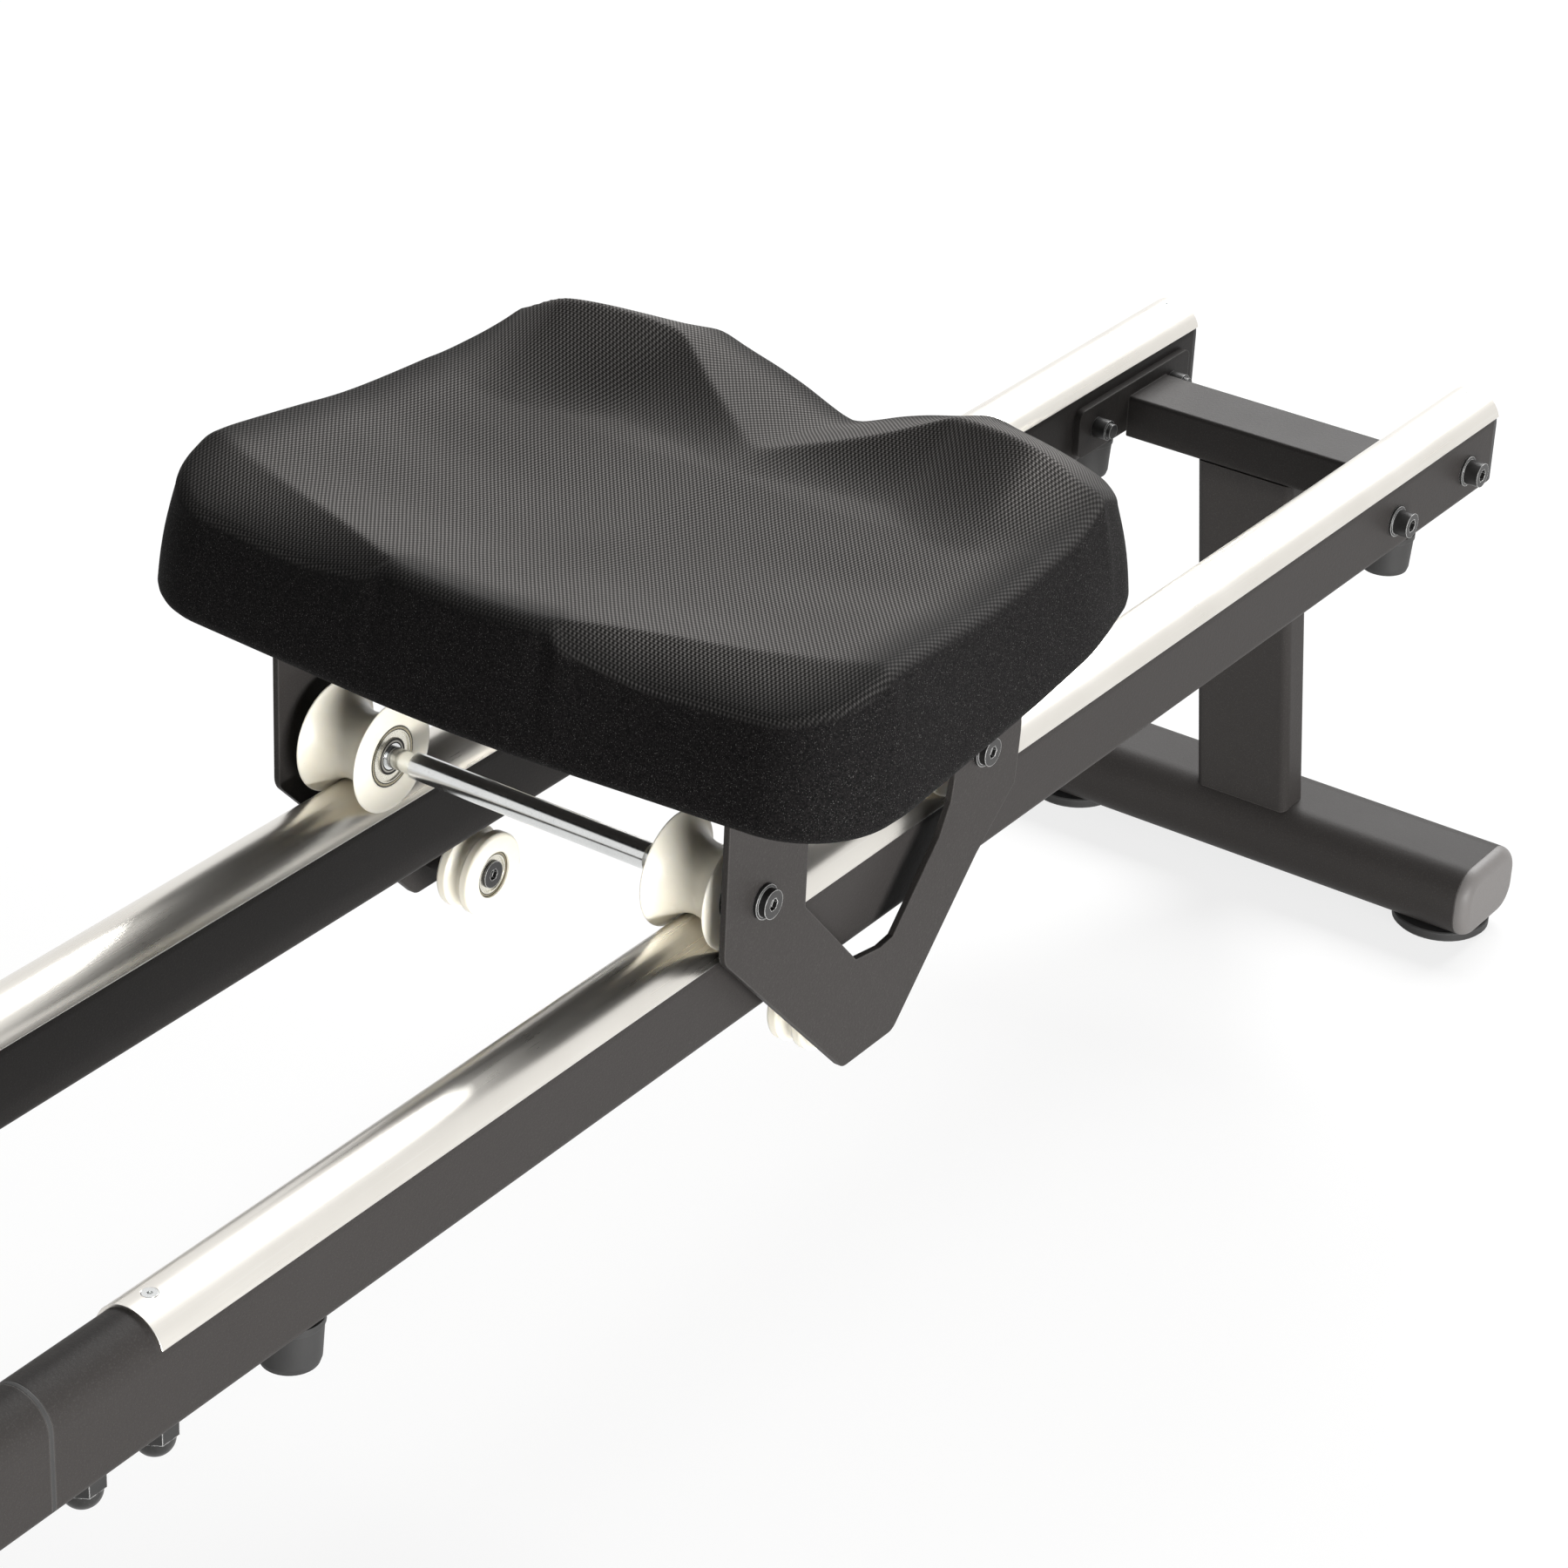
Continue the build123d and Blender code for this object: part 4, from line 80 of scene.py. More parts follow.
class Wire:
    """A node's output; arithmetic on it adds Math nodes to the same tree."""

    def __init__(self, nodes, socket):
        self.nodes = nodes
        self.socket = socket

    def _math(self, operation, first, second=0.0):
        return self.nodes.node("ShaderNodeMath", {"operation": operation}, {0: first, 1: second})

    def __add__(self, other):
        return self._math("ADD", self, other)

    __radd__ = __add__

    def __sub__(self, other):
        return self._math("SUBTRACT", self, other)

    def __rsub__(self, other):
        return self._math("SUBTRACT", other, self)

    def __mul__(self, other):
        return self._math("MULTIPLY", self, other)

    __rmul__ = __mul__

    def __truediv__(self, other):
        return self._math("DIVIDE", self, other)

    def __pow__(self, other):
        return self._math("POWER", self, other)

    def __abs__(self):
        return self._math("ABSOLUTE", self)

    def wave(self):
        """Sine brought between 0 and 1."""
        return self._math("SINE", self) * 0.5 + 0.5

    def least(self, other):
        return self._math("MINIMUM", self, other)

    def most(self, other):
        return self._math("MAXIMUM", self, other)

    def between(self, low, high):
        """0 below low, 1 above high and a smooth step from one to the other."""
        return self.nodes.node(
            "ShaderNodeMapRange", {"interpolation_type": "SMOOTHSTEP"},
            {"Value": self, "From Min": low, "From Max": high},
        )


# Strength of a noise's finer waves
NOISE_ROUGHNESS = 0.55
# Rays that round an edge over, and how far a surface turns there: where an edge starts and is full
BEVEL_SAMPLES = 4
EDGE_TURN = (0.004, 0.12)


class Nodes:
    """A node tree of a material or the world, and the call that adds nodes to it."""

    def __init__(self, tree):
        self.tree = tree

    def node(self, kind, settings=None, sockets=None, out=0):
        """Adds a node: its settings first, then the values or wires of its sockets."""
        made = self.tree.nodes.new(kind)
        for name, value in (settings or {}).items():
            if name == "stops":
                ramp = made.color_ramp
                while len(ramp.elements) < len(value):
                    ramp.elements.new(0.5)
                for element, (place, colour) in zip(ramp.elements, value):
                    element.position = place
                    element.color = (*colour, 1.0)
            else:
                setattr(made, name, value)
        for name, value in (sockets or {}).items():
            if isinstance(value, Wire):
                self.tree.links.new(value.socket, made.inputs[name])
            else:
                made.inputs[name].default_value = value
        return Wire(self, made.outputs[out])

    def seen(self):
        """1 for rays from the camera, a reflection or glass, 0 for those that carry light."""
        rays = self.node("ShaderNodeLightPath").socket.node.outputs
        camera_ray, glossy_ray, glass_ray = (
            Wire(self, rays[f"Is {kind} Ray"]) for kind in ("Camera", "Glossy", "Transmission")
        )
        return camera_ray.most(glossy_ray).most(glass_ray)


class Finish(Nodes):
    """One material and the short calls that make up its look."""

    def __init__(self, name, **fixed):
        self.material = bpy.data.materials.new(name)
        self.material.use_nodes = True
        super().__init__(self.material.node_tree)
        self.shader = self.tree.nodes["Principled BSDF"]
        for socket, value in fixed.items():
            self.shader.inputs[socket.replace("_", " ")].default_value = value

    def feed(self, **wires):
        """Links wires to the shader's own sockets."""
        for name, wire in wires.items():
            self.tree.links.new(wire.socket, self.shader.inputs[name.replace("_", " ")])

    def place(self):
        """Where the point is on its own piece, in metres."""
        return self.node("ShaderNodeTexCoord", out="Object")

    def stretched(self, scale):
        """The same place with each direction scaled by itself, for lines and streaks."""
        return self.node("ShaderNodeMapping", None, {"Vector": self.place(), "Scale": scale})

    def parts(self):
        """The place as three numbers."""
        split = self.node("ShaderNodeSeparateXYZ", None, {"Vector": self.place()}).socket.node.outputs
        return Wire(self, split["X"]), Wire(self, split["Y"]), Wire(self, split["Z"])

    def noise(self, scale, detail=3.0, vector=None, warp=0.0):
        """Cloudy noise, whose scale counts its waves in a metre."""
        sockets = {
            "Vector": vector or self.place(), "Scale": scale, "Detail": detail,
            "Roughness": NOISE_ROUGHNESS, "Distortion": warp,
        }
        return self.node("ShaderNodeTexNoise", None, sockets)

    def cells(self, scale):
        """Distance from the middle of small cells."""
        return self.node("ShaderNodeTexVoronoi", None, {"Vector": self.place(), "Scale": scale})

    def mix(self, share, first, second):
        """Colour between two colours."""
        first = first if isinstance(first, Wire) else (*first, 1.0)
        second = second if isinstance(second, Wire) else (*second, 1.0)
        return self.node("ShaderNodeMix", {"data_type": "RGBA"}, {0: share, 6: first, 7: second}, out=2)

    def ramp(self, share, *stops):
        """Colour from stops of a place and a colour."""
        return self.node("ShaderNodeValToRGB", {"stops": stops}, {"Fac": share})

    def mark(self, name):
        """A number painted on a mesh's points."""
        return self.node("ShaderNodeAttribute", {"attribute_name": name}, out="Fac")

    def softened(self, radius):
        """Surface direction with the edges rounded over."""
        return self.node("ShaderNodeBevel", {"samples": BEVEL_SAMPLES}, {"Radius": radius})

    def edges(self, radius):
        """1 along the outer edges and 0 on the faces."""
        plain = self.node("ShaderNodeNewGeometry", out="Normal")
        turned = {0: plain, 1: self.softened(radius)}
        alike = self.node("ShaderNodeVectorMath", {"operation": "DOT_PRODUCT"}, turned, out="Value")
        return (1 - alike).between(*EDGE_TURN)

    def relief(self, height, depth, strength=1.0, under=None):
        """Bump of a depth in metres."""
        sockets = {"Strength": strength, "Distance": depth, "Height": height}
        if under is not None:
            sockets["Normal"] = under
        return self.node("ShaderNodeBump", None, sockets)


def powder_coat():
    """Warm dark grey powder coat: fine peel, faint cloudiness, and edges painted paler as a highlight."""
    f = Finish("frame_coat", Specular_IOR_Level=0.10)
    cloud = f.noise(9.0, 3.0)
    speck = f.noise(1500.0, 2.0)
    coat_edge_highlight = f.edges(0.0011)
    base = f.mix(cloud, (0.0268, 0.0242, 0.0231), (0.0345, 0.0318, 0.0303))
    base = f.mix(speck.between(0.5, 0.75) * 0.25, base, (0.085, 0.081, 0.077))
    # painted highlight: the coat's edges are mixed towards a paler grey
    base = f.mix(coat_edge_highlight * 0.4, base, (0.15, 0.142, 0.135))
    peel = f.noise(620.0, 2.0) + 0.35 * f.noise(2200.0, 1.0)
    f.feed(
        Base_Color=base,
        Roughness=0.40 + 0.14 * cloud + 0.06 * speck,
        Normal=f.relief(peel, 0.00022, 0.35, f.softened(0.0009)),
    )
    return f.material


def strip_metal():
    """Satin aluminium strip: draw lines along the rail, faint roller tracks, clouding and a painted highlight
    on its edges.
    """
    f = Finish("strip_metal", Metallic=1.0, Roughness=0.24)
    along = f.noise(1.0, 4.0, vector=f.stretched((9.0, 900.0, 900.0)))
    fine = f.noise(1.0, 2.0, vector=f.stretched((40.0, 5200.0, 5200.0)))
    cloud = f.noise(14.0, 4.0, warp=0.4)
    base = f.mix(cloud, (0.70, 0.67, 0.615), (0.81, 0.785, 0.735))
    base = f.mix(along.between(0.55, 0.8) * 0.35, base, (0.86, 0.85, 0.82))
    edge_highlight = f.edges(0.0005)
    # painted highlight: the strip's edges are mixed towards a paler silver
    base = f.mix(edge_highlight * 0.7, base, (0.92, 0.91, 0.89))
    f.feed(
        Base_Color=base,
        Roughness=0.2 + 0.1 * cloud + 0.08 * along,
        Normal=f.relief(along + 0.5 * fine, 0.00006, 0.25, f.softened(0.0004)),
    )
    return f.material


def plated_steel():
    """Bright plate on ground steel: turning marks and a fine broken grain."""
    f = Finish("axle_metal", Metallic=1.0, Roughness=0.12)
    grain = f.noise(2600.0, 2.0)
    turned = f.noise(1.0, 2.0, vector=f.stretched((300.0, 2600.0, 300.0)))
    cloud = f.noise(60.0, 3.0)
    base = f.mix(cloud, (0.62, 0.63, 0.63), (0.80, 0.81, 0.80))
    base = f.mix(grain.between(0.56, 0.74) * 0.5, base, (0.30, 0.30, 0.30))
    f.feed(
        Base_Color=base,
        Roughness=0.09 + 0.12 * grain + 0.06 * cloud,
        Normal=f.relief(turned + 0.6 * grain, 0.00004, 0.3, f.softened(0.0003)),
    )
    return f.material


# The axles' lines, with the radius of the bearings on each
AXLE_LINES = ((-692.8, 32.3, 14.0), (-525.7, 32.3, 14.0), (-611.0, -66.0, 11.0))


def bearing_metal():
    """Shielded bearing: gilt outer ring, cream shield, seams and middle painted dark as shade, and a painted
    highlight ring in the middle.
    """
    f = Finish("bearing_metal", Metallic=0.9)
    x, _, z = f.parts()
    share = 2.0
    for axle_x, axle_z, radius in AXLE_LINES:
        middle = at(axle_x, 0.0, axle_z)
        dx, dz = x - middle.x, z - middle.z
        share = ((dx * dx + dz * dz) ** 0.5 / (radius * MM)).least(share)
    cloud = f.noise(180.0, 3.0)
    grain = f.noise(2400.0, 2.0)
    gilt = f.mix(cloud, (0.26, 0.23, 0.16), (0.42, 0.38, 0.27))
    shield = f.mix(cloud, (0.70, 0.67, 0.57), (0.82, 0.80, 0.72))
    dark = f.mix(cloud, (0.012, 0.011, 0.010), (0.045, 0.042, 0.038))
    base = f.mix(share.between(0.86, 0.88), shield, gilt)
    base = f.mix(grain.between(0.6, 0.75) * 0.35, base, (0.20, 0.18, 0.13))
    # painted shade: the seams between ring and shield and round the outer edge are darkened
    seam_groove_shade = share.between(0.85, 0.87) * (1 - share.between(0.885, 0.90)) + share.between(0.955, 0.97)
    # painted shade: the middle is darkened as a hollow
    hollow_shade = 1 - share.between(0.59, 0.61)
    # painted highlight: a pale ring in the dark middle stands in for a glint
    glint = share.between(0.46, 0.48) * (1 - share.between(0.51, 0.53))
    base = f.mix(seam_groove_shade.most(hollow_shade), base, dark)
    base = f.mix(glint * 0.7, base, (0.55, 0.53, 0.48))
    f.feed(
        Base_Color=base,
        Roughness=0.20 + 0.16 * grain + 0.25 * hollow_shade,
        Normal=f.relief(grain - 2.0 * seam_groove_shade, 0.00003, 0.3, f.softened(0.0003)),
    )
    return f.material


def black_oxide():
    """Oil-black fastener steel, bright along its edges from wear and a painted highlight."""
    f = Finish("bolt_black", Metallic=0.2, Specular_IOR_Level=0.45)
    grain = f.noise(1800.0, 3.0)
    cloud = f.noise(240.0, 3.0)
    edge_highlight = f.edges(0.00055)
    base = f.mix(cloud, (0.010, 0.010, 0.010), (0.026, 0.025, 0.024))
    base = f.mix(grain.between(0.62, 0.75) * 0.3, base, (0.16, 0.16, 0.16))
    # wear and a painted highlight: the edges are mixed towards bright steel
    base = f.mix(edge_highlight * (0.55 + 0.45 * cloud), base, (0.78, 0.78, 0.77))
    f.feed(
        Base_Color=base,
        Roughness=0.28 + 0.2 * grain,
        Normal=f.relief(grain, 0.00005, 0.3, f.softened(0.0004)),
    )
    return f.material


def roller_nylon():
    """Creamy nylon: turned, slightly waxy, with faint scuffs."""
    f = Finish(
        "roller_nylon", Subsurface_Weight=0.2, Subsurface_Scale=0.003, Subsurface_Radius=(1.0, 0.85, 0.6),
        Coat_Weight=0.05,
    )
    cloud = f.noise(70.0, 3.0)
    scuff = f.noise(1.0, 3.0, vector=f.stretched((500.0, 120.0, 500.0)))
    base = f.mix(cloud, (0.90, 0.845, 0.70), (0.93, 0.89, 0.78))
    base = f.mix(scuff.between(0.66, 0.8) * 0.25, base, (0.74, 0.67, 0.52))
    f.feed(
        Base_Color=base,
        Roughness=0.3 + 0.12 * scuff,
        Normal=f.relief(scuff + 0.4 * f.noise(900.0, 2.0), 0.00008, 0.3, f.softened(0.0012)),
    )
    return f.material


def black_rubber():
    """Matt black rubber with a fine moulded grain and a dusty bloom."""
    f = Finish("black_rubber", Specular_IOR_Level=0.35)
    grain = f.noise(1300.0, 3.0)
    bloom = f.noise(45.0, 4.0)
    base = f.mix(bloom, (0.016, 0.016, 0.016), (0.036, 0.035, 0.034))
    # painted highlight: the rubber's edges are mixed towards a paler grey
    base = f.mix(f.edges(0.0009) * 0.4, base, (0.10, 0.10, 0.10))
    f.feed(
        Base_Color=base,
        Roughness=0.52 + 0.2 * bloom,
        Normal=f.relief(grain, 0.0001, 0.5, f.softened(0.0008)),
    )
    return f.material


def moulded_plastic(name, roughness, dark, pale, edge):
    """Moulded plastic: spark-eroded grain, faint clouding and edges painted slightly paler as a highlight."""
    f = Finish(name, Specular_IOR_Level=0.35)
    grain = f.cells(1100.0)
    cloud = f.noise(18.0, 3.0)
    base = f.mix(cloud, dark, pale)
    # painted highlight: the edges are mixed towards the paler edge colour
    base = f.mix(f.edges(0.0010) * 0.35, base, edge)
    f.feed(
        Base_Color=base,
        Roughness=roughness + 0.16 * cloud + 0.1 * grain,
        Normal=f.relief(grain, 0.0001, 0.35, f.softened(0.0010)),
    )
    return f.material


def black_plastic():
    """Black mouldings, such as the covers, the foot boards and the console."""
    # the edge colour is a painted highlight on the mouldings' edges
    return moulded_plastic(
        "black_plastic", 0.34, dark=(0.018, 0.018, 0.019), pale=(0.034, 0.034, 0.035), edge=(0.11, 0.11, 0.11)
    )


def cap_plastic():
    """Grey moulded caps of the foot tubes, painted paler than the tubes to stand in for the light on their
    end faces.
    """
    # painted light: the paler colours stand in for light on the caps' end faces, and the edge colour is a
    # painted highlight
    return moulded_plastic(
        "cap_lit_grey", 0.38, dark=(0.115, 0.108, 0.104), pale=(0.150, 0.142, 0.137), edge=(0.26, 0.25, 0.24)
    )


# The seat mesh: rows and ribs in metres, how far both drift, and the turn from the machine's line
WEAVE_ROW = 0.0022
WEAVE_RIB = 0.0016
ROW_DRIFT = 9.0
RIB_DRIFT = 7.0
WEAVE_TURN = math.radians(38.0)


def seat_cover():
    """Stretched bead mesh on the top, a fine dark grain on the moulded side wall, painted shade on the weave
    towards the rim and painted highlights as pale specks on the wall.
    """
    f = Finish("seat_cover", Specular_IOR_Level=0.05)
    top = f.mark("mesh_share")
    drift = f.noise(9.0, 2.0)
    x, y, _ = f.parts()
    c, s = math.cos(WEAVE_TURN), math.sin(WEAVE_TURN)
    row = (x * c + y * s) * (2 * math.pi / WEAVE_ROW) + drift * ROW_DRIFT
    rib = (y * c - x * s) * (2 * math.pi / WEAVE_RIB) + drift * RIB_DRIFT
    ribs = rib.wave()
    beads = (row + rib * 0.5).wave()
    rungs = (row * 2.0 - rib).wave()
    thread = ribs * 0.38 + beads * 0.36 + rungs * 0.26
    fuzz = f.noise(2300.0, 2.0)
    shade = f.noise(7.0, 3.0)
    weave = f.ramp(
        thread * 0.86 + fuzz * 0.14,
        (0.25, (0.006, 0.006, 0.006)),
        (0.42, (0.048, 0.045, 0.043)),
        (0.60, (0.120, 0.113, 0.109)),
        (0.80, (0.280, 0.270, 0.262)),
    )
    weave = f.mix(shade.between(0.35, 0.7) * 0.2, weave, (0.070, 0.066, 0.063))
    # painted shade: the weave is darkened towards the rim where the mesh share falls
    weave = f.mix(0.72 * (1 - top.between(0.45, 1.0)), weave, (0.008, 0.008, 0.008))
    grain = f.noise(1100.0, 3.0)
    glint = f.noise(2100.0, 1.0)
    wall = f.mix(grain.between(0.35, 0.7), (0.003, 0.003, 0.003), (0.011, 0.010, 0.010))
    # painted highlights: pale specks in the wall's colour stand in for glints of light
    wall = f.mix(glint.between(0.64, 0.74) * 0.5, wall, (0.15, 0.145, 0.14))
    height = top * thread * 0.8 + (1 - top) * grain * 0.7 + fuzz * 0.2
    f.feed(
        Base_Color=f.mix(top.between(0.0, 0.3), wall, weave),
        Roughness=0.66 + 0.2 * fuzz - (1 - top) * glint.between(0.62, 0.72) * 0.2,
        Normal=f.relief(height, 0.0004, 0.75),
    )
    return f.material


# Webbing: ribs along it and how far their chevrons reach, in metres, and yarns over its width
WEBBING_RIB = 0.0022
WEBBING_SLANT = 0.006
WEBBING_YARNS = 11


def webbing():
    """Woven belt: chevron ribs across and a firm edge."""
    f = Finish("belt_web", Roughness=0.66, Sheen_Weight=0.1)
    along = f.mark("along")
    over = f.mark("over")
    slant = abs(over - 0.5) * WEBBING_SLANT
    rib = ((along + slant) * (2 * math.pi / WEBBING_RIB)).wave()
    yarn = (over * (2 * math.pi * WEBBING_YARNS)).wave()
    fuzz = f.noise(1900.0, 3.0)
    edge = abs(over - 0.5).between(0.42, 0.47)
    dark = (0.012, 0.012, 0.012)
    base = f.mix(rib * 0.6 + yarn * 0.2 + fuzz * 0.2, dark, (0.060, 0.058, 0.056))
    base = f.mix(edge * 0.5, base, dark)
    f.feed(
        Base_Color=base,
        Roughness=0.58 + 0.2 * fuzz,
        Normal=f.relief(rib * 0.5 + yarn * 0.35 + fuzz * 0.25, 0.0003, 0.6),
    )
    return f.material


def grip_foam():
    """Closed-cell foam with small open pores."""
    f = Finish("grip_foam", Roughness=0.75)
    pores = f.cells(900.0)
    cloud = f.noise(40.0, 3.0)
    base = f.mix(cloud, (0.022, 0.022, 0.023), (0.045, 0.044, 0.043))
    base = f.mix(1 - pores.between(0.15, 0.4), base, (0.008, 0.008, 0.008))
    f.feed(Base_Color=base, Roughness=0.66 + 0.2 * cloud, Normal=f.relief(pores, 0.0003, 0.5))
    return f.material


def tank_clear():
    """Clear moulded shell with faint flow lines and a trace of dust."""
    f = Finish("tank_clear", Transmission_Weight=0.92, IOR=1.46, Roughness=0.04)
    haze = f.noise(14.0, 4.0)
    dust = f.noise(700.0, 2.0)
    base = f.mix(haze, (0.86, 0.91, 0.93), (0.94, 0.97, 0.98))
    f.feed(
        Base_Color=base,
        Roughness=0.03 + 0.06 * haze + dust.between(0.68, 0.8) * 0.25,
        Normal=f.relief(haze, 0.0006, 0.25, f.softened(0.0012)),
    )
    return f.material


def water():
    """Clear water with a small ripple."""
    f = Finish("water", Transmission_Weight=0.95, IOR=1.333, Roughness=0.02)
    ripple = f.noise(32.0, 3.0, warp=0.6)
    deep = f.noise(6.0, 2.0)
    base = f.mix(deep, (0.42, 0.70, 0.80), (0.62, 0.84, 0.90))
    f.feed(Base_Color=base, Roughness=0.01 + 0.03 * ripple, Normal=f.relief(ripple, 0.004, 0.5))
    return f.material


def brushed_steel():
    """Brushed paddle plate."""
    f = Finish("paddle_metal", Metallic=1.0, Roughness=0.3)
    lines = f.noise(1.0, 3.0, vector=f.stretched((60.0, 60.0, 2600.0)))
    cloud = f.noise(20.0, 3.0)
    base = f.mix(lines * 0.6 + cloud * 0.4, (0.46, 0.47, 0.48), (0.70, 0.71, 0.72))
    # painted highlight: the plate's edges are mixed towards bright silver
    f.feed(
        Base_Color=f.mix(f.edges(0.0008) * 0.6, base, (0.88, 0.88, 0.88)),
        Roughness=0.24 + 0.16 * lines,
        Normal=f.relief(lines, 0.00006, 0.35, f.softened(0.0006)),
    )
    return f.material


def screen_glass():
    """Dark display pane behind a smooth window."""
    f = Finish("screen_glass", Roughness=0.09, Coat_Weight=0.5)
    cloud = f.noise(30.0, 3.0)
    base = f.mix(cloud, (0.020, 0.030, 0.026), (0.034, 0.046, 0.040))
    f.feed(Base_Color=base, Roughness=0.07 + 0.06 * cloud, Normal=f.relief(cloud, 0.0001, 0.1))
    return f.material


FINISHES = {
    "frame_coat": powder_coat(),
    "strip_metal": strip_metal(),
    "axle_metal": plated_steel(),
    "bearing_metal": bearing_metal(),
    "bolt_black": black_oxide(),
    "roller_nylon": roller_nylon(),
    "black_rubber": black_rubber(),
    "black_plastic": black_plastic(),
    "seat_cover": seat_cover(),
    "belt_web": webbing(),
    "grip_foam": grip_foam(),
    "tank_clear": tank_clear(),
    "water": water(),
    "paddle_metal": brushed_steel(),
}
CAP_LIT_GREY = cap_plastic()

for part in frame["record"]["subparts"]:
    node = frame["nodes"][part["node"]]
    if not node.material_slots:
        node.data.materials.append(None)
    for slot in node.material_slots:
        slot.material = CAP_LIT_GREY if part["node"] == "foot_tube_caps" else FINISHES[part["material_slot"]]


def piece(name, points, faces, body, material, marks=None, smooth=True):
    """A mesh piece with numbers painted on its points, which rides on a body if one is named."""
    mesh = bpy.data.meshes.new(name)
    mesh.from_pydata([tuple(p) for p in points], [], faces)
    mesh.update()
    for mark, values in (marks or {}).items():
        layer = mesh.attributes.new(mark, "FLOAT", "POINT")
        layer.data.foreach_set("value", values)
    if smooth:
        mesh.shade_smooth()
    sides = bmesh.new()
    sides.from_mesh(mesh)
    bmesh.ops.recalc_face_normals(sides, faces=sides.faces)
    sides.to_mesh(mesh)
    sides.free()
    made = bpy.data.objects.new(name, mesh)
    made.data.materials.append(material)
    bpy.context.scene.collection.objects.link(made)
    if body:
        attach(made, body)
    return made


def ring_faces(rings, size):
    """Faces between rings of points that follow one another in a list."""
    faces = []
    for r in range(rings - 1):
        for k in range(size):
            j = (k + 1) % size
            faces.append((r * size + k, r * size + j, (r + 1) * size + j, (r + 1) * size + k))
    return faces


def closed_faces(rings, size):
    """The same with a face over the first and the last ring."""
    last = (rings - 1) * size
    return ring_faces(rings, size) + [tuple(range(size)), tuple(last + k for k in range(size))]


# Seat: heights of the moulded bowl, in millimetres over points of its plan
SEAT_X = (-760.0, -727.0, -700.0, -675.0, -645.0, -615.0, -585.0, -560.0)
SEAT_Y = (0.0, 30.0, 60.0, 90.0, 120.0, 150.0, 182.0)
SEAT_HEIGHTS = (
    (153.0, 154.0, 156.0, 158.0, 160.0, 162.5, 165.0),
    (150.0, 151.0, 153.0, 155.0, 156.5, 159.0, 162.0),
    (145.0, 146.0, 147.0, 149.5, 152.5, 156.0, 160.0),
    (142.0, 141.5, 142.0, 144.5, 149.0, 154.0, 158.5),
    (141.0, 139.0, 139.0, 141.5, 146.5, 151.5, 156.0),
    (140.0, 138.0, 137.5, 139.5, 144.0, 149.0, 153.0),
    (140.5, 138.5, 138.5, 141.0, 145.0, 149.0, 151.5),
    (142.0, 140.0, 140.0, 142.5, 146.5, 150.0, 151.5),
)
# The crease behind the bowl: a V in the middle that runs out into the ridge of each hump
RIDGE_Y = (
    0.0, 6.0, 15.0, 30.0, 45.0, 60.0, 72.0, 86.0,
    100.0, 112.0, 124.0, 134.0, 144.0, 152.0, 165.0, 185.0,
)
RIDGE_X = (
    -536.5, -534.0, -527.5, -517.5, -508.0, -498.5, -493.5, -499.0,
    -504.0, -507.5, -509.5, -508.0, -507.0, -503.0, -498.0, -492.0,
)
RIDGE_Z = (
    145.0, 145.6, 147.2, 150.4, 154.5, 160.0, 165.0, 169.5,
    172.0, 173.0, 172.0, 168.0, 162.5, 158.0, 153.0, 147.0,
)
# Behind the ridge the slope of the fall, and before it the length of the climb
REAR_FALL = (
    0.161, 0.16, 0.155, 0.14, 0.16, 0.25, 0.35, 0.47,
    0.52, 0.55, 0.57, 0.58, 0.58, 0.58, 0.55, 0.5,
)
FRONT_RUN = (
    24.0, 25.0, 27.0, 32.0, 38.0, 46.0, 52.0, 57.0,
    60.0, 62.0, 62.0, 60.0, 58.0, 55.0, 52.0, 50.0,
)
# How steeply the climb sets in, how the fall starts and bends, and where the ridge has no more say
CLIMB_POWER = 1.7
FALL_START = 0.75
FALL_BEND = 0.005
RIDGE_REACH = -640.0
# The facets cut from the front corners, along a line over each corner and out from it
FACET_FROM = (-744.5, 38.0)
FACET_WAY = (0.3918, 0.9202)
FACET_ALONG = (-15.0, 0.0, 5.5, 20.0, 35.0, 48.0, 75.0, 101.0, 122.0, 141.0, 160.0)
FACET_OUT = (-8.0, -8.5, -9.5, -8.0, -6.5, -5.2, -1.0, 3.0, 5.7, 5.8, 5.0)
FACET_Z = (156.0, 154.6, 154.4, 153.9, 153.2, 152.5, 152.0, 153.0, 155.0, 157.0, 158.5)
FACET_FALL = (0.3, 0.6, 0.8, 0.78, 0.72, 0.66, 0.48, 0.38, 0.33, 0.31, 0.28)
# Where the facets have no more say
FACET_REACH = -660.0
# How far two surfaces of the top blend where they meet
SEAT_CREASE = 0.5
# Underside, the pocket in it and the lip round the pocket
SEAT_BASE = 91.9
SEAT_POCKET = 95.3
SEAT_LIP = 15.0
# Round of the top edge, lean of the wall and its swell, and round of the bottom edge
SEAT_RIM = 9.0
SEAT_LEAN = 8.0
WALL_SWELL = 1.2
SEAT_FOOT = 8.0
SEAT_MIDDLE = Vector((-604.0, 0.0))
# The plan's outline as corners of x, y and radius, with the side ones for the left
SEAT_FRONT = (-754.5, 0.0, 700.0)
SEAT_SIDE = (
    (-741.5, 184.0, 45.0), (-690.0, 185.4, 80.0), (-578.0, 176.5, 400.0), (-523.0, 170.5, 200.0),
    (-450.0, 151.0, 50.0),
)
SEAT_REAR = (-445.5, 0.0, 900.0)


